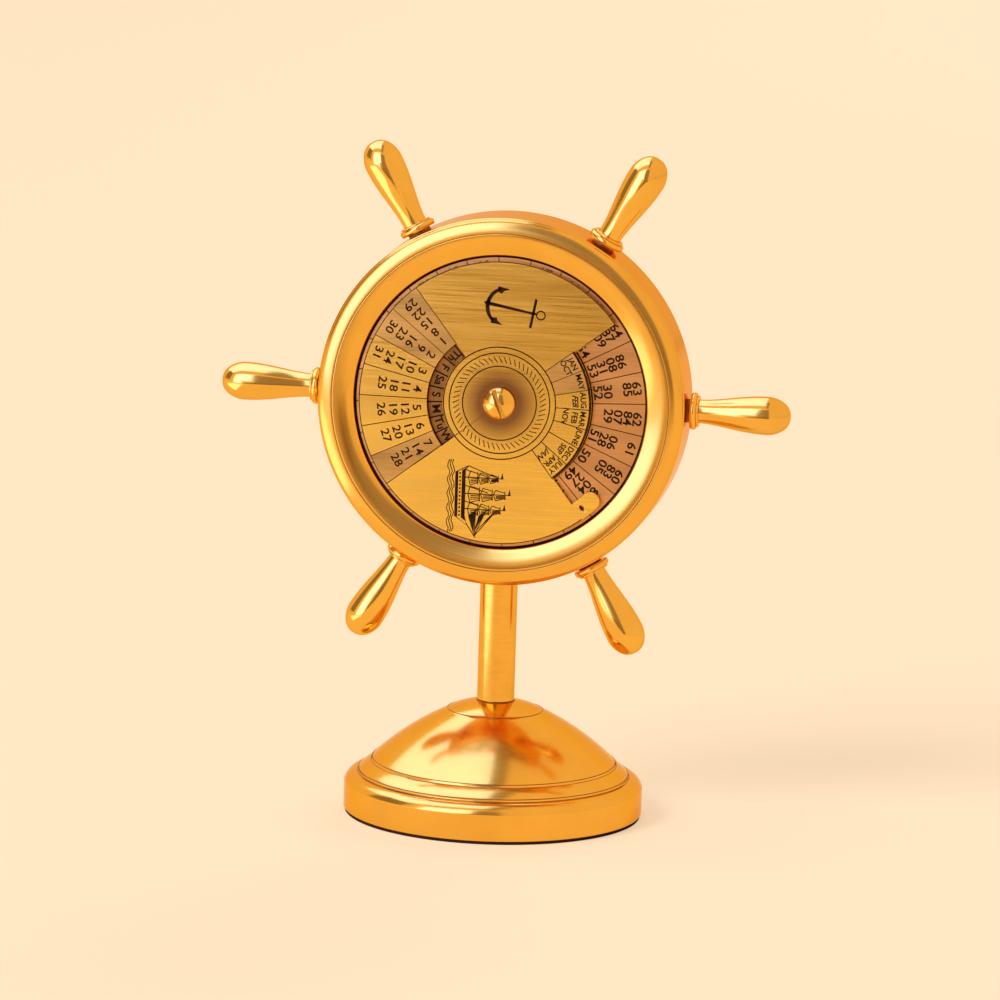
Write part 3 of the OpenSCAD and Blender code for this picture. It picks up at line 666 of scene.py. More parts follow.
@dataclass
class Marks:
    """Lines, labels and filled forms on one flat face, kept as one piece.

    Attributes:
        name: Name of the piece.
        face: Depth of the face, in millimetres.
        stand: How far the marks stand on the face.
        width: Width of a line.
        weight: How much each side of a letter's strokes grows, in millimetres.
    """

    name: str
    face: float
    stand: float = 0.02
    width: float = 0.2
    weight: float = 0.045
    parts: list[bpy.types.Object] = field(default_factory=list)
    lines: list[Sequence[Point]] = field(default_factory=list)
    forms: list[Sequence[Point]] = field(default_factory=list)

    def line(self, *points: Point) -> None:
        """Adds a line through the points."""
        self.lines.append(points)

    def spoke(self, angle: float, start: float, end: float) -> None:
        """Adds a radial line between two radii."""
        self.lines.append([polar(start, angle), polar(end, angle)])

    def circle(self, radius: float, width: float | None = None) -> None:
        """Adds a full circle of the usual width, or of its own."""
        half = (width or self.width) / 2
        low, high = self.face - self.stand, self.face + self.stand
        self.parts.append(washer("circle", radius - half, radius + half, low, high, 240))

    def arc(self, radius: float, start: float, end: float) -> None:
        """Adds an arc between two angles."""
        self.lines.append(sweep(radius, start, end, 2.5))

    def form(self, points: Sequence[Point]) -> None:
        """Adds a filled form."""
        self.forms.append(points)

    def label(
        self,
        text: str,
        radius: float,
        angle: float,
        height: float,
        tops: Tops = Tops.OUT,
        squeeze: float = 1.0,
        slant: float = 0.0,
    ) -> None:
        """Adds a number or a word.

        Args:
            text: What it says.
            radius: Radius of its middle.
            angle: Angle of its middle, in degrees.
            height: Height of a capital letter, in millimetres.
            tops: Which way its top points.
            squeeze: Width against the plain font's.
            slant: How far its letters lean.
        """
        select()
        bpy.ops.object.text_add()
        letters = bpy.context.object
        letters.data.body = text
        letters.data.align_x = "CENTER"
        letters.data.align_y = "CENTER"
        letters.data.size = height / CAP_SHARE * MM
        letters.data.extrude = self.stand * MM
        letters.data.resolution_u = 3
        letters.data.offset = self.weight * MM
        letters.data.shear = slant
        bpy.ops.object.convert(target="MESH")
        x, y = polar(radius * MM, angle)
        turn = math.radians(angle + tops.value)
        where = Matrix.Translation((x, y, self.face * MM)) @ Matrix.Rotation(turn, 4, "Z")
        self.parts.append(place(bpy.context.object, where @ Matrix.Diagonal((squeeze, 1, 1, 1))))

    def done(self, where: Matrix) -> bpy.types.Object:
        """Makes one piece of all the marks.

        Args:
            where: Place of the face.

        Returns:
            The piece, in place.
        """
        if self.lines:
            strokes = drawn("strokes", [[(x, y, self.face) for x, y in line] for line in self.lines])
            select(strokes)
            bpy.ops.object.convert(target="CURVE")
            strokes.data.bevel_depth = self.width / 2 * MM
            strokes.data.bevel_resolution = 0
            strokes.data.use_fill_caps = True
            bpy.ops.object.convert(target="MESH")
            flat = Matrix.Translation((0, 0, self.face * MM)) @ Matrix.Diagonal(
                (1, 1, self.stand / (self.width / 2), 1)
            ) @ Matrix.Translation((0, 0, -self.face * MM))
            self.parts.append(place(strokes, flat))
        if self.forms:
            self.parts.append(
                cut_sheet("forms", self.forms, self.face - self.stand, self.face + self.stand)
            )
        return place(joined(self.name, self.parts), where)


# ---------- stand ----------


@dataclass
class Stand:
    """The base with its felt and screw, and the stem."""

    base_r: float = 33.7
    felt_t: float = 0.6
    wall_top: float = 6.6
    rim_top: float = 8.9
    band_r: float = 30.8
    band_top: float = 11.5
    dome_r: float = 27.5
    dome_foot: float = 12.1
    dome_top: float = 23.8
    button_r: float = 10.9
    base_top: float = 25.7
    step_w: float = 0.35
    step_h: float = 0.6
    stem_r: float = 4.22
    stem_top: float = 53.7

    def base(self) -> bpy.types.Object:
        """Turns the bell-shaped base and returns it."""
        outline = [
            (0, self.felt_t),
            (self.base_r - 0.3, self.felt_t),
            (self.base_r, self.felt_t + 0.3),
            *bow((self.base_r, self.wall_top), (self.band_r, self.rim_top), -0.64, 16),
            (self.band_r - self.step_w, self.rim_top + 0.12),
            *bow(
                (self.band_r - self.step_w, self.rim_top + self.step_h),
                (self.dome_r + self.step_w, self.band_top),
                -0.12,
                8,
            ),
            (self.dome_r + 0.05, self.band_top + 0.12),
            *bow((self.dome_r, self.dome_foot), (self.button_r, self.dome_top - 0.25), -0.8, 40),
            (self.button_r - 0.15, self.dome_top - 0.1),
            *bow((self.button_r - 0.3, self.dome_top), (self.stem_r, self.base_top), -0.25, 12),
            (0, self.base_top),
        ]
        return turned("base_casting", eased(outline, 0.12), 256)

    def creases(self) -> bpy.types.Object:
        """Lays dark brown rings in the base's turned grooves and round the stem's foot, painted shade with
        some tarnish in the grooves, and returns it.
        """
        rings = [
            (self.band_r - 0.12, self.rim_top + 0.02, 0.1),
            (self.band_r - self.step_w - 0.03, self.rim_top + self.step_h - 0.02, 0.12),
            (self.dome_r + 0.2, self.band_top + 0.02, 0.1),
            (self.dome_r - 0.06, self.dome_foot + 0.02, 0.12),
            (self.button_r - 0.12, self.dome_top - 0.08, 0.06),
            (self.stem_r, self.base_top, 0.16),
        ]
        parts = [
            turned("crease", [(r - half, z), (r, z - half), (r + half, z), (r, z + half), (r - half, z)], 192)
            for r, z, half in rings
        ]
        return joined("base_creases", parts)

    def stem(self) -> bpy.types.Object:
        """Turns the stem and returns it."""
        outline = [
            (0, self.base_top),
            (self.stem_r - 0.25, self.base_top),
            (self.stem_r, self.base_top + 0.25),
            (self.stem_r, self.stem_top),
            (0, self.stem_top),
        ]
        return turned("stem_rod", eased(outline, 0.1), 96)

    def build(self, nodes: dict[str, bpy.types.Object]) -> None:
        """Builds the stand.

        Args:
            nodes: CAD nodes by name.
        """
        hand_over(self.base(), BUFFED_BASE, "stand", "polished_brass", "base")
        # painted shade, with some tarnish, in the base's grooves and round the stem's foot
        hand_over(self.creases(), CREASE_TARNISH_AND_SHADE, "stand", "polished_brass")
        hand_over(self.stem(), BUFFED_ROD, "stand", "polished_brass", "stem")
        dress(nodes["felt_pad"], WOOL_FELT)
        dress(nodes["base_screw"], ZINC_STEEL)
        dress(nodes["base_washer"], ZINC_STEEL)


# ---------- wheel ----------


@dataclass
class Wheel:
    """The drum, its front bezel and the six handles."""

    drum_r: float = 41.0
    rear_r: float = 41.5
    front: float = 6.9
    rear: float = 6.5
    seat_r: float = 36.2
    web_front: float = 5.3
    web_back: float = 3.8
    bore_r: float = 31.2
    chamfer: float = 0.3
    opening_r: float = 33.0
    plate_front: float = 6.3
    lip_front: float = 7.3
    band_front: float = 8.2
    crease_r: float = 37.9
    bead_front: float = 8.12
    turn: float = -0.8
    handles: int = 6
    neck_r: float = 2.6
    collar_foot: float = 42.0
    collar_r: float = 4.15
    step_foot: float = 43.35
    step_r: float = 3.5
    grip_foot: float = 43.85
    grip_r0: float = 2.65
    grip_r1: float = 4.3
    belly: float = 59.2
    tip: float = 64.3

    def drum(self) -> bpy.types.Object:
        """Turns the drum with its bore, web and front recess, and returns it."""
        outline = [
            (1.6, self.web_back),
            (self.bore_r, self.web_back),
            (self.bore_r, -self.rear),
            (self.rear_r - self.chamfer, -self.rear),
            (self.rear_r, self.chamfer - self.rear),
            (self.drum_r + self.chamfer, self.front - self.chamfer),
            (self.drum_r, self.front),
            (self.seat_r, self.front),
            (self.seat_r, self.web_front),
            (1.6, self.web_front),
            (1.6, self.web_back),
        ]
        return place(turned("drum_shell", eased(outline, 0.1), 256), FRONT)

    def bezel(self) -> bpy.types.Object:
        """Turns the front bezel with its outer bead and dished inner band, and returns it."""
        bead_foot, bead_w = self.crease_r + 0.1, self.drum_r - self.crease_r - 0.1
        turns = [math.radians(90 * i / 28) for i in range(29)]
        bead = [
            (bead_foot + bead_w * math.cos(t), self.front + (self.bead_front - self.front) * math.sin(t))
            for t in turns
        ]
        outline = [
            (self.opening_r, self.plate_front),
            (self.seat_r - 0.05, self.plate_front),
            (self.seat_r - 0.05, self.front),
            *bead,
            (self.crease_r, self.bead_front - 0.25),
            *bow((self.crease_r - 0.08, self.band_front), (self.opening_r + 0.2, self.lip_front), -0.2, 12),
            (self.opening_r, self.lip_front - 0.2),
            (self.opening_r, self.plate_front),
        ]
        return place(turned("front_bezel", eased(outline, 0.08), 256), FRONT)

    def bezel_crease(self) -> bpy.types.Object:
        """Lays dark brown rings in the bezel's crease and along its opening, painted shade of the step and of
        the opening's edge with some tarnish in the crease, and returns it.
        """
        r = self.crease_r
        crease = [(r - 0.12, 0), (r, -0.1), (r + 0.12, 0), (r, 0.1)]
        lip = [(self.opening_r + 0.03, 0), (self.opening_r - 0.05, 0.1), (self.opening_r - 0.05, 0.5)]
        parts = [
            turned(name, [(r, depth + z) for r, z in [*ring, ring[0]]], 240)
            for name, ring, depth in (
                ("crease", crease, self.bead_front - 0.08), ("lip", lip, self.plate_front - 0.03),
            )
        ]
        return place(joined("bezel_creases", parts), FRONT)

    def grip(self, share: float) -> float:
        """Returns the grip's radius at a share of the way from the collar to its belly."""
        swell = (1 - math.cos(math.pi * share**0.9)) / 2
        return self.grip_r0 + (self.grip_r1 - self.grip_r0) * swell

    def handle(self) -> bpy.types.Object:
        """Turns one handle upright on the wheel's axis and returns it."""
        grip_len, crown_len = self.belly - self.grip_foot, self.tip - self.belly
        grip = [(self.grip(i / 28), self.grip_foot + grip_len * i / 28) for i in range(29)]
        crown = [
            (
                self.grip_r1 * math.cos(math.radians(a)) ** 0.85,
                self.belly + crown_len * math.sin(math.radians(a)) ** 1.15,
            )
            for a in range(5, 90, 5)
        ]
        collar = [
            (0, self.collar_foot - 2),
            (self.neck_r, self.collar_foot - 2),
            (self.neck_r, self.collar_foot),
            *bow((self.collar_r - 0.3, self.collar_foot), (self.collar_r - 0.3, self.step_foot), -0.3, 10),
            *bow((self.step_r - 0.1, self.step_foot + 0.02), (self.step_r - 0.1, self.grip_foot), -0.1, 5),
        ]
        return turned("handle", [*collar, *grip, *crown, (0, self.tip)], 96)

    def neck_residue(self) -> bpy.types.Object:
        """Lays a dark brown sleeve round one handle's neck, in the gap between drum and collar, as painted
        shade, and returns it.
        """
        near, far = self.drum_r - 0.2, self.collar_foot + 0.04
        inner, outer = self.neck_r - 0.1, self.neck_r + 0.05
        flare = outer + 0.3
        sleeve = [(inner, near), (flare, near), (outer, near + 0.5), (outer, far - 0.2), (flare, far)]
        return turned("neck_residue", [*sleeve, (inner, far), (inner, near)], 64)

    def build(self) -> None:
        """Builds the drum, the bezel and the handles."""
        hand_over(self.drum(), SPUN_BRASS, "stand", "polished_brass", "drum_body")
        hand_over(self.bezel(), SPUN_BRASS, "stand", "polished_brass", "calendar_bezel")
        # painted shade, with some tarnish, in the bezel's crease and along its opening
        hand_over(self.bezel_crease(), CREASE_TARNISH_AND_SHADE, "stand", "polished_brass")
        for i, handle in enumerate(self.round_the_wheel(self.handle(), "turned_handle")):
            hand_over(handle, BUFFED_HANDLE, "stand", "polished_brass", f"handle_{i + 1}")
        # painted shade on the handles' necks, in the gap between drum and collar
        neck_shade = joined("neck_creases", self.round_the_wheel(self.neck_residue(), "neck_crease"))
        hand_over(neck_shade, CREASE_TARNISH_AND_SHADE, "stand", "polished_brass")

    def round_the_wheel(self, pattern: bpy.types.Object, name: str) -> list[bpy.types.Object]:
        """Sets copies of a piece round the wheel, one for each handle.

        Args:
            pattern: The piece, upright on the wheel's axis; it is removed.
            name: Start of the copies' names.

        Returns:
            The copies, in place, each with its own mesh.
        """
        copies = []
        for i in range(self.handles):
            copy = pattern.copy()
            copy.data = pattern.data.copy()
            copy.name = f"{name}_{i + 1}"
            bpy.context.collection.objects.link(copy)
            angle = math.radians(self.turn + i * 360 / self.handles)
            turn = Matrix.Rotation(angle, 4, "Z") @ Matrix.Rotation(math.pi / 2, 4, "Y")
            copies.append(place(copy, FRONT @ turn))
        bpy.data.objects.remove(pattern)
        return copies


# ---------- calendar ----------


@dataclass
class Calendar:
    """The fixed year plate, the turning disc and the centre screw.

    The plate has 28 columns, one for each year of the cycle after which dates fall on
    the same weekdays again.
    """

    columns: int = 28
    plate_r: float = 36.0
    plate_back: float = 5.3
    plate_front: float = 6.3
    disc_r: float = 31.75
    disc_back: float = 6.7
    disc_front: float = 7.7
    years_r: float = 20.65
    years_from: float = -52.4
    years_to: float = 37.0
    window_in: float = 12.8
    window_out: float = 16.4
    window_from: float = 128.0
    window_to: float = 219.0
    tab_w: float = 4.1
    tab_turn: float = 7.6
    dimple_turn: float = 2.8
    bush_r: float = 2.86
    first_year: int = 1950
    cycle_year: int = 1960
    last_year: int = 2060
    years_column: float = -42.7
    year_rows: tuple[float, ...] = (30.75, 28.6, 26.4, 24.2, 22.0)
    year_height: float = 1.95
    dates_mid: float = 173.0
    date_rows: tuple[float, ...] = (18.75, 21.4, 24.1, 26.8, 29.5)
    date_height: float = 1.85
    months_column: float = -46.4
    months_out: float = 20.1
    month_rows: tuple[float, ...] = (18.8, 17.0, 14.9)
    month_height: float = 1.27
    weekday_height: float = 1.8
    screw_r: float = 3.6
    screw_seat: float = 7.8
    screw_top: float = 9.9
    slot_w: float = 1.1
    slot_angle: float = -68.0

    @property
    def pitch(self) -> float:
        """Angle between two columns."""
        return 360 / self.columns

    def column_angle(self, column: float) -> float:
        """Angle of a column of the year plate, column 0 at the opening's lower end."""
        return self.years_column + self.pitch * column

    def plate(self) -> bpy.types.Object:
        """Turns the year plate and returns it."""
        sheet = washer(
            "year_plate_sheet", self.bush_r, self.plate_r, self.plate_back, self.plate_front, 256
        )
        return place(sheet, FRONT)

    def year_place(self, year: int) -> tuple[int, int]:
        """Finds a year's place on the plate.

        Args:
            year: The year.

        Returns:
            Its column and its row, the outermost row being 0. A column is skipped
            before each leap year.
        """
        since = year - self.cycle_year
        place_number = 1 + since + since // 4
        return place_number % self.columns, place_number // self.columns % len(self.year_rows)

    def plate_marks(self) -> bpy.types.Object:
        """Draws the plate's columns and years, and two dark rings of painted shadow by the disc's cut edge
        and the bezel's lip, and returns them.
        """
        marks = Marks("year_plate_marks", self.plate_front, weight=0.055)
        for column in range(self.columns):
            marks.spoke(self.column_angle(column + 0.5), self.years_r - 1.0, self.plate_r - 0.3)
        for year in range(self.first_year, self.last_year + 1):
            column, row = self.year_place(year)
            angle = self.column_angle(column)
            marks.label(f"{year % 100:02d}", self.year_rows[row], angle, self.year_height, squeeze=1.17)
        # painted shadow: a dark band where the disc's cut edge throws its shadow on the plate
        marks.circle(self.years_r - 0.2, 0.8)
        # painted shadow: a dark band under the bezel's lip, round the opening's edge
        marks.circle(self.disc_r + 1.0, 0.5)
        return marks.done(FRONT)

    def weekday_cells(self) -> bpy.types.Object:
        """Cuts the darkened ring under the weekdays, its dark brown painted shade of the disc's window, and
        returns it.
        """
        low, high = self.plate_front, self.plate_front + 0.015
        ring = washer("weekday_ring", self.window_in - 0.6, self.window_out + 0.6, low, high)
        return place(ring, FRONT)

    def weekday_marks(self) -> bpy.types.Object:
        """Draws the weekdays round the ring, and returns them."""
        marks = Marks("weekday_marks", self.plate_front + 0.02, width=0.34, weight=0.07)
        names = ("S", "M", "Tu", "W", "Th", "F", "Sa")
        middle = (self.window_in + self.window_out) / 2
        for column in range(self.columns):
            angle = self.column_angle(column + 17)
            marks.label(names[column % 7], middle, angle, self.weekday_height, Tops.IN)
            marks.spoke(angle + self.pitch / 2, self.window_in - 0.5, self.window_out + 0.5)
        marks.circle(self.window_in - 0.15, 0.5)
        marks.circle(self.window_out + 0.15, 0.6)
        return marks.done(FRONT)

    def wedge(self, inner: float, outer: float, start: float, end: float) -> list[Point]:
        """Draws the outline of a wedge of a ring, and returns its points."""
        return [*sweep(inner, start, end), *sweep(outer, end, start)]

    def disc(self) -> bpy.types.Object:
        """Turns the disc, cuts its openings, leaves the finger tab, and returns it."""
        low, high = self.disc_back, self.disc_front
        disc = washer("date_disc", self.bush_r, self.disc_r, low, high, 360)
        tab_mid, tab_end = self.disc_r - self.tab_w / 2, self.years_from + self.tab_turn
        nose_x, nose_y = polar(tab_mid, tab_end)
        nose = [
            (nose_x + x, nose_y + y) for x, y in sweep(self.tab_w / 2, tab_end, tab_end + 180, 6)
        ]
        past = self.disc_r + 3
        opening = [
            *sweep(self.years_r, self.years_from, self.years_to),
            *sweep(past, self.years_to, tab_end),
            *nose,
            *sweep(self.disc_r - self.tab_w, tab_end, self.years_from)[1:],
        ]
        cut(disc, cut_sheet("opening", [opening], low - 1, high + 1))
        window = cut_sheet(
            "window",
            [self.wedge(self.window_in, self.window_out, self.window_from, self.window_to)],
            low - 1,
            high + 1,
        )
        cut(disc, window)
        x, y = polar(tab_mid, self.years_from + self.dimple_turn)
        bpy.ops.mesh.primitive_uv_sphere_add(segments=32, ring_count=16, radius=MM)
        along = Matrix.Rotation(math.radians(self.years_from + self.dimple_turn), 4, "Z")
        above = Matrix.Translation((x * MM, y * MM, (high + 0.1) * MM))
        oval = Matrix.Diagonal((0.95, 0.6, 0.5, 1))
        cut(disc, place(bpy.context.object, above @ along @ oval))
        return place(deburred(disc, 0.05), FRONT)

    def disc_marks(self) -> bpy.types.Object:
        """Draws the dates, the months and the rings on the disc, with dark bands of painted shade at the
        opening's inner edge and in the tab's dimple, and returns them.
        """
        marks = Marks("date_disc_marks", self.disc_front)
        for j in range(8):
            marks.spoke(self.dates_mid + self.pitch * (j - 3.5), self.window_out, self.disc_r - 0.1)
        for date in range(1, 32):
            column, row = (date - 1) % 7, (date - 1) // 7
            angle = self.dates_mid + self.pitch * (column - 3)
            marks.label(str(date), self.date_rows[row], angle, self.date_height, Tops.IN, 1.17)
        self.month_marks(marks)
        for radius in (12.6, 11.3, 8.3):
            marks.circle(radius, 0.26)
        marks.arc(self.disc_r - 0.12, self.years_to, self.years_from + 360)
        # the months' engraved border, widened into painted shade of the opening's cut edge
        marks.form(self.wedge(self.months_out, self.years_r - 0.03, self.years_from, self.years_to))
        # painted shade: a dark spot in the finger tab's dimple
        x, y = polar(self.disc_r - self.tab_w / 2, self.years_from + self.dimple_turn)
        turns = [math.pi * i / 8 for i in range(16)]
        marks.form([(x + 0.35 * math.cos(t), y + 0.35 * math.sin(t)) for t in turns])
        for i in range(self.columns * 2):
            low, high = polar(9.1, self.pitch * (i - 0.35) / 2), polar(10.5, self.pitch * (i + 0.35) / 2)
            marks.line(low, high)
        return marks.done(FRONT)

    def month_marks(self, marks: Marks) -> None:
        """Draws the months in their columns, those of leap years in slanted letters.

        Args:
            marks: The disc's marks, which take them.
        """
        cells = (
            ("JULY", "APR", "Jan"), ("DEC", "SEP"), ("JUNE",), ("MAR", "FEB", "NOV"), ("AUG", "Feb"),
            ("MAY",), ("JAN", "OCT"),
        )
        for column, names in enumerate(cells):
            angle = self.months_column + self.pitch * column
            marks.spoke(angle - self.pitch / 2, self.window_in - 0.2, self.years_r)
            for row, name in enumerate(names):
                slant = 0.35 if name.istitle() else 0.0
                middle, height = self.month_rows[row], self.month_height
                marks.label(name.upper(), middle, angle, height, squeeze=0.95, slant=slant)
        marks.spoke(self.months_column + self.pitch * 6.5, self.window_in - 0.2, self.years_r)

    def brown_cells(self) -> bpy.types.Object:
        """Cuts the cells that the etching bath browned, and returns them."""
        half = self.pitch / 2
        spans = [
            (self.dates_mid + self.pitch * (j - 3), self.window_out + 0.1, self.disc_r - 0.2)
            for j in (0, 1, 6)
        ]
        spans += [
            (self.months_column + self.pitch * j, self.window_in, self.months_out) for j in (5, 6)
        ]
        cells = [self.wedge(inner, outer, mid - half, mid + half) for mid, inner, outer in spans]
        piece = cut_sheet("browned_cells", cells, self.disc_front - 0.05, self.disc_front + 0.006)
        return place(piece, FRONT)

    def screw(self) -> bpy.types.Object:
        """Turns the domed screw, saws its slot, and returns it."""
        outline = [
            (0, self.screw_seat - 1.5),
            (1.55, self.screw_seat - 1.5),
            (1.55, self.screw_seat),
            (self.screw_r, self.screw_seat),
            (self.screw_r, self.screw_seat + 0.5),
            *bow((self.screw_r, self.screw_seat + 0.6), (0, self.screw_top), -0.55, 24),
        ]
        screw = turned("domed_screw", eased(outline, 0.08), 128)
        floor = self.screw_seat + 0.95
        reach, half = self.screw_r + 1, self.slot_w / 2
        slot = cut_sheet(
            "slot", [[(-reach, -half), (reach, -half), (reach, half), (-reach, half)]], floor, floor + 3
        )
        cut(screw, place(slot, Matrix.Rotation(math.radians(self.slot_angle), 4, "Z")))
        return place(deburred(screw, 0.07), FRONT)

    def build(self, nodes: dict[str, bpy.types.Object]) -> None:
        """Builds the calendar.

        Args:
            nodes: CAD nodes by name.
        """
        hand_over(self.plate(), BRUSHED_PLATE, "stand", "etched_brass", "year_plate")
        hand_over(self.plate_marks(), ENAMEL_AND_PAINTED_SHADE, "stand", "etched_brass")
        # painted shade: the weekday ring darkened where it lies in the disc's window
        hand_over(self.weekday_cells(), ETCHED_RING_PAINTED_SHADE, "stand", "etched_brass")
        hand_over(self.weekday_marks(), ENAMEL_AND_PAINTED_SHADE, "stand", "etched_brass")
        hand_over(self.disc(), BRUSHED_DISC, "calendar", "etched_brass", "calendar_disc")
        hand_over(self.brown_cells(), BROWNED_CELL, "calendar", "etched_brass")
        hand_over(self.disc_marks(), ENAMEL_AND_PAINTED_SHADE, "calendar", "etched_brass")
        hand_over(self.screw(), BUFFED_HANDLE, "stand", "polished_brass", "centre_screw")
        dress(nodes["hub_bush"], SPUN_BRASS)
        dress(nodes["wave_washer"], SPRING_STEEL)


# ---------- ornaments ----------


def in_field(middle: Point, turn: float) -> Matrix:
    """Returns an ornament's place from its middle and its turn on the wheel's front."""
    x, y = middle
    return FRONT @ (Matrix.Translation((x * MM, y * MM, 0)) @ Matrix.Rotation(math.radians(turn), 4, "Z"))


@dataclass
class Anchor:
    """A plain seaman's anchor, etched in the disc's upper field."""

    face: float = 7.7
    middle: Point = (3.0, 21.2)
    turn: float = -10.6
    length: float = 13.4

    def build(self) -> None:
        """Cuts the anchor, with its crown to the left and its ring to the right."""
        half = self.length / 2
        marks = Marks("etched_anchor", self.face, width=0.3)
        shank = [(-half, -0.4), (half - 1.9, -0.24), (half - 1.9, 0.24), (-half, 0.4)]
        stock = [(half - 2.95, -3.3), (half - 2.35, -3.3), (half - 2.35, 3.3), (half - 2.95, 3.3)]
        arms_out = [(x - half + 4.3, y) for x, y in sweep(4.4, 116, 244, 6)]
        arms_in = [(x - half + 4.9, y) for x, y in sweep(4.1, 240, 120, 6)]
        for form in (shank, stock, [*arms_out, *arms_in]):
            marks.form(form)
        for side in (1, -1):
            marks.form(
                [(-half + 1.9, side * 4.2), (-half + 4.6, side * 4.1), (-half + 3.2, side * 3.3),
                 (-half + 3.0, side * 2.7), (-half + 1.8, side * 3.0)]
            )
        marks.form([(-half - 0.6, 0), (-half + 0.7, -1.0), (-half + 0.7, 1.0)])
        ring = [(half - 0.9 + x, y) for x, y in sweep(0.95, 0, 360, 15)]
        marks.line(*ring)
        hand_over(
            marks.done(in_field(self.middle, self.turn)), ENAMEL_AND_PAINTED_SHADE, "calendar", "etched_brass"
        )


@dataclass
class Ship:
    """A three-masted ship under sail, etched in the disc's lower field."""

    face: float = 7.7
    middle: Point = (-3.3, -20.9)
    turn: float = -90.0
    scale: float = 1.08

    def sail(self, marks: Marks, x: float, low: float, high: float, width: float) -> None:
        """Draws one square sail with a bellied foot.

        Args:
            marks: The ship's marks.
            x: Place of the mast.
            low: Height of the sail's foot.
            high: Height of its yard.
            width: Length of its yard.
        """
        half = width / 2
        marks.line(
            (x - half, low + 0.2), (x - half + 0.5, high), (x + half - 0.3, high), (x + half + 0.3, low + 0.2)
        )
        marks.line((x - half, low + 0.2), (x, low - 0.25), (x + half + 0.3, low + 0.2))
        yard_foot, yard_end = high - 0.12, x + half
        marks.form(
            [(x - half + 0.2, yard_foot), (yard_end, yard_foot), (yard_end, high + 0.14), (x - half, high)]
        )
        for i in (1, 2, 3):  # the sail's seams, as shading on its lee side
            seam = x + half * (0.25 * i - 0.1)
            marks.line((seam, high - 0.1), (seam + 0.18, low + 0.25))

    def build(self) -> None:
        """Draws the ship upright and turns it on its side, bow downwards."""
        marks = Marks("etched_ship", self.face, width=0.2)
        deck, keel = -3.6, -5.6
        hull = [(-6.0, deck + 0.7), (-5.2, deck), (4.4, deck), (6.4, deck + 0.5), (4.6, keel), (-4.6, keel)]
        marks.line(*hull, hull[0])
        marks.form(
            [(-5.6, deck + 0.3), (-5.2, deck - 0.05), (4.4, deck - 0.05), (5.6, deck + 0.2),
             (4.9, deck - 0.7), (-5.0, deck - 0.7)]
        )
        marks.form([(-4.9, keel + 0.55), (4.8, keel + 0.55), (4.6, keel), (-4.6, keel)])
        for i in range(12):  # gun ports
            x = -4.6 + 0.8 * i
            marks.form([(x, deck - 1.25), (x + 0.4, deck - 1.25), (x + 0.4, deck - 0.9), (x, deck - 0.9)])
        for x, top, scale in ((-3.6, 4.4, 0.85), (-0.2, 6.0, 1.0), (3.0, 5.0, 0.9)):
            marks.form([(x - 0.12, deck), (x + 0.12, deck), (x + 0.08, top), (x - 0.08, top)])
            foot, share = deck + 0.9, (top - deck - 1.6) / 3
            for i in range(3):
                low = foot + share * i
                self.sail(marks, x, low, low + share * 0.82, (3.1 - 0.6 * i) * scale)
            marks.form([(x, top), (x - 1.3, top - 0.25), (x, top - 0.6)])
        marks.line((6.0, deck + 0.4), (9.0, deck + 2.4))
        for height in (3.2, 1.0, -1.2):
            marks.line((3.0, height), (8.6, deck + 2.2))
            marks.form([(3.2, height), (8.2, deck + 2.0), (4.4, height - 1.6)])
        marks.line((-6.0, deck + 0.7), (-3.6, 3.4))
        for foot in (-5.2, -1.9, 1.4):  # shrouds
            marks.line((foot, deck), (foot + 1.4, 1.2))
        for level in (-0.5, -1.0, -1.5):  # swell below the hull
            marks.line(
                *[(x * 0.8, keel + level + 0.28 * math.sin(x * 1.7 + level)) for x in range(-9, 11)]
            )
        sized = in_field(self.middle, self.turn) @ Matrix.Diagonal((self.scale, self.scale, 1, 1))
        hand_over(marks.done(sized), ENAMEL_AND_PAINTED_SHADE, "calendar", "etched_brass")


# ---------- clock ----------


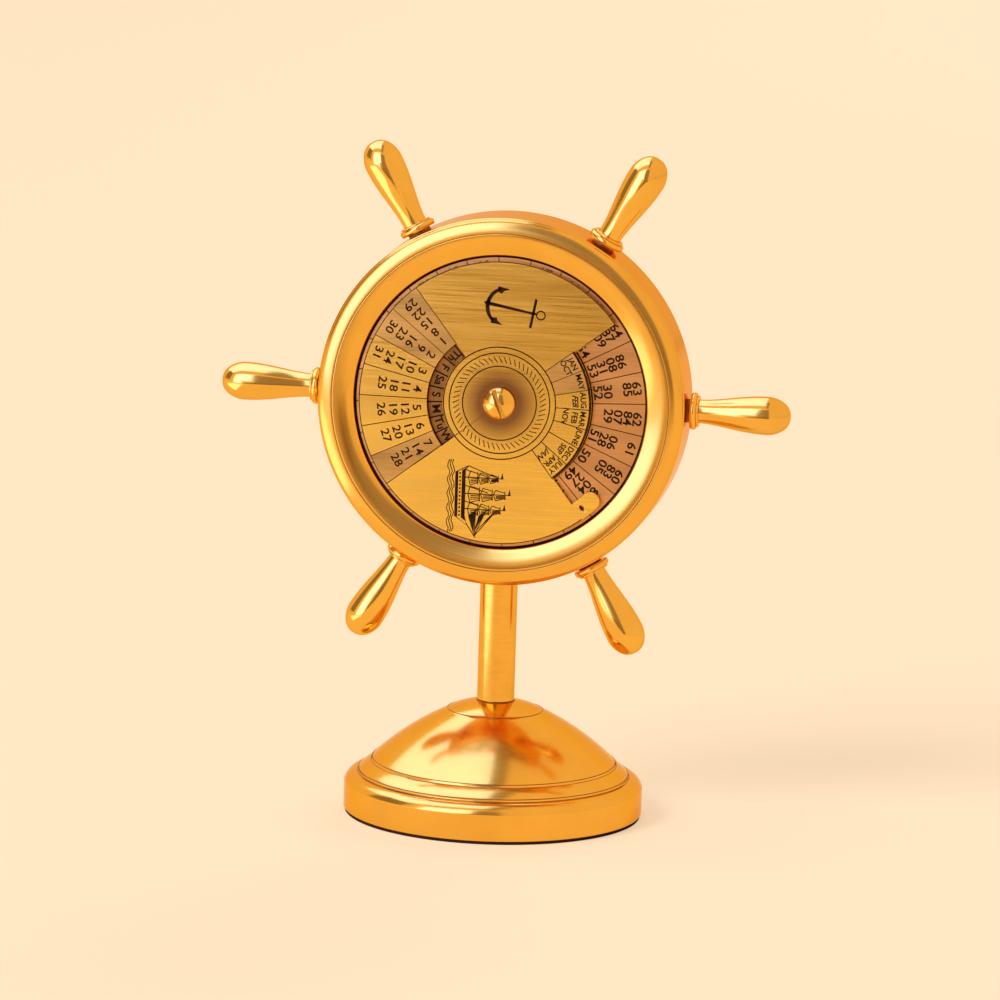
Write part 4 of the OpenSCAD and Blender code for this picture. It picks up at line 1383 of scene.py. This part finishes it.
@dataclass
class RearClock:
    """The push-in clock: its bezel, dial marks, lens, hands, case and movement."""

    case_r: float = 30.3
    skirt_r: float = 30.9
    skirt_back: float = 2.5
    rear: float = 6.5
    bezel_r: float = 38.6
    bezel_crest: Point = (34.9, 10.9)
    lip: Point = (28.8, 8.3)
    dial_face: float = 3.7
    minutes_out: float = 27.6
    minutes_in: float = 26.4
    hours_in: float = 25.2
    numeral_r: float = 21.8
    numeral_height: float = 3.4

    def bezel(self) -> bpy.types.Object:
        """Turns the rear bezel with its skirt, and returns it."""
        crest_x, crest_z = self.bezel_crest
        lip_x, lip_z = self.lip
        outline = [
            (self.case_r, self.skirt_back),
            (self.skirt_r, self.skirt_back),
            (self.skirt_r, self.rear + 0.05),
            (self.bezel_r, self.rear + 0.05),
            *bow((self.bezel_r, self.rear + 0.6), (crest_x, crest_z), -0.9, 20),
            *bow((crest_x - 0.1, crest_z - 0.02), (lip_x + 0.1, lip_z + 0.7), -0.4, 12),
            (lip_x, lip_z),
            (self.case_r, lip_z),
            (self.case_r, self.skirt_back),
        ]
        return place(turned("rear_bezel", eased(outline, 0.08), 256), REAR)

    def dial_marks(self) -> bpy.types.Object:
        """Prints the minute track and the hours' numerals, and returns them."""
        marks = Marks("dial_print", self.dial_face, 0.012, 0.22, 0.08)
        marks.circle(self.minutes_out, 0.14)
        marks.circle(self.minutes_in, 0.14)
        for minute in range(60):
            inner = self.hours_in if minute % 5 == 0 else self.minutes_in
            marks.spoke(minute * 6, inner, self.minutes_out)
        for hour in range(1, 13):
            angle = 90 - hour * 30
            x, y = polar(self.numeral_r, angle)
            marks.label(str(hour), self.numeral_r, angle, self.numeral_height, squeeze=0.9)
            upright = Matrix.Translation((x * MM, y * MM, 0)) @ Matrix.Rotation(
                math.radians(90 - angle), 4, "Z"
            ) @ Matrix.Translation((-x * MM, -y * MM, 0))
            place(marks.parts[-1], upright)
        return marks.done(REAR)

    def build(self, nodes: dict[str, bpy.types.Object]) -> None:
        """Builds the clock and dresses its CAD nodes.

        Args:
            nodes: CAD nodes by name.
        """
        hand_over(self.bezel(), SPUN_BRASS, "clock_insert", "polished_brass", "clock_bezel")
        hand_over(self.dial_marks(), BLACK_HAND, "clock_insert", "hand_black")
        finishes = {
            "lens": ACRYLIC_LENS,
            "clock_dial": DIAL_LACQUER,
            "grip_ring": NITRILE_RING,
            "clock_case": ABS_CASE,
            "movement_back": ABS_HOUSING,
            "movement_front": ABS_HOUSING,
            "coil": COPPER_WINDING,
            "circuit_board": SOLDER_MASK,
            "button_cell": NICKEL_CELL,
            "cell_cover": ABS_CASE,
            "setting_knob": NYLON_GEAR,
            "minute_wheel": NYLON_GEAR,
            "minute_arbor": NYLON_GEAR,
            "hour_wheel": NYLON_GEAR,
            "hour_hand": BLACK_HAND,
            "minute_hand": BLACK_HAND,
            "hand_nut": SPUN_BRASS,
        }
        for name, finish in finishes.items():
            dress(nodes[name], finish)


# ---------- studio ----------


@dataclass(frozen=True)
class Card:
    """A flat card that only the metal mirrors: a window, a wall or the ceiling.

    Attributes:
        name: Name of the card.
        low: One corner, in metres.
        high: The corner across from it; both share one coordinate.
        colour: Its colour, sRGB hex.
        glow: How brightly it glows, 1 for the colour as written.
    """

    name: str
    low: tuple[float, float, float]
    high: tuple[float, float, float]
    colour: str
    glow: float

    def hang(self) -> None:
        """Hangs the card."""
        size = Vector(self.high) - Vector(self.low)
        turn = {
            0: Matrix.Rotation(math.pi / 2, 4, "Y") @ Matrix.Diagonal((size.z, size.y, 1, 1)),
            1: Matrix.Rotation(math.pi / 2, 4, "X") @ Matrix.Diagonal((size.x, size.z, 1, 1)),
            2: Matrix.Diagonal((size.x, size.y, 1, 1)),
        }[min(range(3), key=lambda axis: abs(size[axis]))]
        select()
        bpy.ops.mesh.primitive_plane_add(size=1)
        card = bpy.context.object
        card.name = self.name
        place(card, Matrix.Translation((Vector(self.low) + Vector(self.high)) / 2) @ turn)
        made = bpy.data.materials.new(self.name)
        tree = blank(made)
        glow = add(tree, "Emission", {"Color": linear(self.colour), "Strength": self.glow})
        add(tree, "OutputMaterial", links={"Surface": glow.outputs[0]})
        dress_plain(card, made)
        card.visible_camera = False
        card.visible_diffuse = False
        card.visible_shadow = False
        card.visible_transmission = False


CARDS = (
    Card("window_upper", (-0.75, -0.62, 0.16), (-0.09, -0.62, 0.8), "#8AA1FF", 6.5),
    Card("window_lower", (-0.75, -0.62, 0.0), (-0.2, -0.62, 0.16), "#8AA1FF", 6.5),
    Card("room_behind_camera", (-0.08, -0.62, 0.0), (0.17, -0.62, 0.7), "#A898A0", 1.0),
    Card("table_edge", (-0.16, -0.615, 0.0), (0.17, -0.615, 0.06), "#86685C", 1.0),
    Card("wall_left", (-1.0, -0.45, 0.2), (-1.0, 0.2, 1.0), "#9A8878", 1.0),
    Card("ceiling_left", (-1.2, -0.3, 0.9), (0.0, 0.9, 0.9), "#8AA1FF", 5.5),
    Card("ceiling_beam", (0.0, -0.6, 0.9), (0.13, 0.1, 0.9), "#A89890", 1.0),
    Card("table_glare", (-0.45, -0.35, 0.0006), (-0.13, -0.05, 0.0006), "#C8D4FF", 3.2),
)


@dataclass
class Studio:
    """The table, the lamps and the camera."""

    paper: str = "#FEE2C0"
    paper_glow: float = 0.62
    ambient: str = "#FFF6EA"
    ambient_level: float = 0.45
    table_size: float = 14.0
    table_middle: tuple[float, float, float] = (0.0, 3.0, 0.0)
    clip: Point = (0.05, 30.0)
    azimuth: float = 8.60
    elevation: float = 9.44
    roll: float = 1.74
    distance: float = 1.28125
    target: tuple[float, float, float] = (0.0, 0.0, 0.082)
    target_pixel: Point = (503.04, 453.36)
    picture: int = 1000
    lens: float = 206.06
    sensor: float = 36.0

    def seen(self, tree: bpy.types.NodeTree) -> bpy.types.NodeSocket:
        """Adds a switch that is on for the camera and for what metal and glass show.

        Args:
            tree: Node tree that takes it.

        Returns:
            Socket that is 1 for such rays, else 0.
        """
        path = add(tree, "LightPath").outputs
        either = {"operation": "MAXIMUM"}
        some = add(tree, "Math", either, {0: path["Is Camera Ray"], 1: path["Is Glossy Ray"]})
        both = {0: some.outputs[0], 1: path["Is Transmission Ray"]}
        return add(tree, "Math", either, both).outputs[0]

    def room(self) -> None:
        """Makes the room: the paper's colour where it shows, a softer light elsewhere."""
        world = bpy.data.worlds.new("studio_room")
        bpy.context.scene.world = world
        tree = blank(world)
        show = add(tree, "Background", {"Color": linear(self.paper), "Strength": 1.0})
        light = add(tree, "Background", {"Color": linear(self.ambient), "Strength": self.ambient_level})
        mixed = add(
            tree, "MixShader", links={0: self.seen(tree), 1: light.outputs[0], 2: show.outputs[0]}
        )
        add(tree, "OutputWorld", links={"Surface": mixed.outputs[0]})

    def table(self) -> None:
        """Lays the sheet of paper that the clock stands on."""
        select()
        bpy.ops.mesh.primitive_plane_add(size=self.table_size, location=self.table_middle)
        floor = bpy.context.object
        floor.name = "paper_table"
        paper = bpy.data.materials.new("paper_cream")
        tree = blank(paper)
        matt = add(tree, "BsdfDiffuse", {"Color": linear(self.paper)})
        glow = add(tree, "Emission", {"Color": linear(self.paper), "Strength": 1.0})
        glowing = {"operation": "MULTIPLY", 1: self.paper_glow}
        share = add(tree, "Math", glowing, {0: self.seen(tree)})
        mixed = add(
            tree, "MixShader", links={0: share.outputs[0], 1: matt.outputs[0], 2: glow.outputs[0]}
        )
        add(tree, "OutputMaterial", links={"Surface": mixed.outputs[0]})
        dress_plain(floor, paper)

    def softbox(self, name: str, place_at: Sequence[float], size: Point, power: float) -> None:
        """Hangs an area lamp that looks at the clock; the metal mirrors the cards instead.

        Args:
            name: Name of the lamp.
            place_at: Where it hangs, in metres.
            size: Its width and height, in metres.
            power: Its power, in watts.
        """
        lamp = bpy.data.lights.new(name, "AREA")
        lamp.shape = "RECTANGLE"
        lamp.size, lamp.size_y = size
        lamp.energy = power
        hung = bpy.data.objects.new(name, lamp)
        bpy.context.scene.collection.objects.link(hung)
        away = Vector(place_at) - Vector(self.target)
        hung.matrix_world = Matrix.Translation(place_at) @ away.to_track_quat("Z", "Y").to_matrix().to_4x4()
        hung.visible_glossy = False

    def camera(self) -> None:
        """Sets up the camera from the angles fitted to the photograph."""
        azimuth, elevation, roll = (math.radians(a) for a in (self.azimuth, self.elevation, self.roll))
        reach = math.cos(elevation)
        out = Vector((reach * math.sin(azimuth), -reach * math.cos(azimuth), math.sin(elevation)))
        right = (-out).cross(Vector((0, 0, 1))).normalized()
        up = right.cross(-out)
        right_rolled = math.cos(roll) * right + math.sin(roll) * up
        up_rolled = -math.sin(roll) * right + math.cos(roll) * up
        level = Matrix((right_rolled, up_rolled, out)).transposed()
        pixels = self.lens / self.sensor * self.picture
        middle = self.picture / 2
        ray = Vector(
            ((self.target_pixel[0] - middle) / pixels, (middle - self.target_pixel[1]) / pixels, -1)
        ).normalized()
        turn = level @ ray.rotation_difference(Vector((0, 0, -1))).to_matrix()
        data = bpy.data.cameras.new("camera")
        data.lens = self.lens
        data.sensor_width = self.sensor
        data.clip_start, data.clip_end = self.clip
        eye = bpy.data.objects.new("camera", data)
        bpy.context.scene.collection.objects.link(eye)
        eye.matrix_world = Matrix.Translation(Vector(self.target) + out * self.distance) @ turn.to_4x4()
        bpy.context.scene.camera = eye

    def build(self) -> None:
        """Sets up the room, the table, the lamps, the cards and the camera."""
        bpy.context.scene.view_settings.view_transform = "Standard"
        self.room()
        self.table()
        self.softbox("window_light", (-2.0, -2.2, 2.5), (1.6, 1.6), 105)
        self.softbox("top_light", (-0.5, 0.2, 3.2), (1.8, 1.4), 24)
        self.softbox("rear_fill", (0.6, 2.6, 1.5), (1.4, 1.4), 26)
        for card in CARDS:
            card.hang()
        self.camera()


def dress_plain(piece: bpy.types.Object, material: bpy.types.Material) -> None:
    """Gives a piece of the studio its material."""
    piece.data.materials.clear()
    piece.data.materials.append(material)


def main() -> None:
    """Builds the clock piece by piece round its frame, and the studio round the clock."""
    logging.basicConfig(level=logging.INFO, format="%(name)s: %(message)s", stream=sys.stdout)
    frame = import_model()
    nodes = frame["nodes"]
    Stand().build(nodes)
    Wheel().build()
    Calendar().build(nodes)
    Anchor().build()
    Ship().build()
    RearClock().build(nodes)
    Studio().build()


if __name__ == "__main__":
    main()
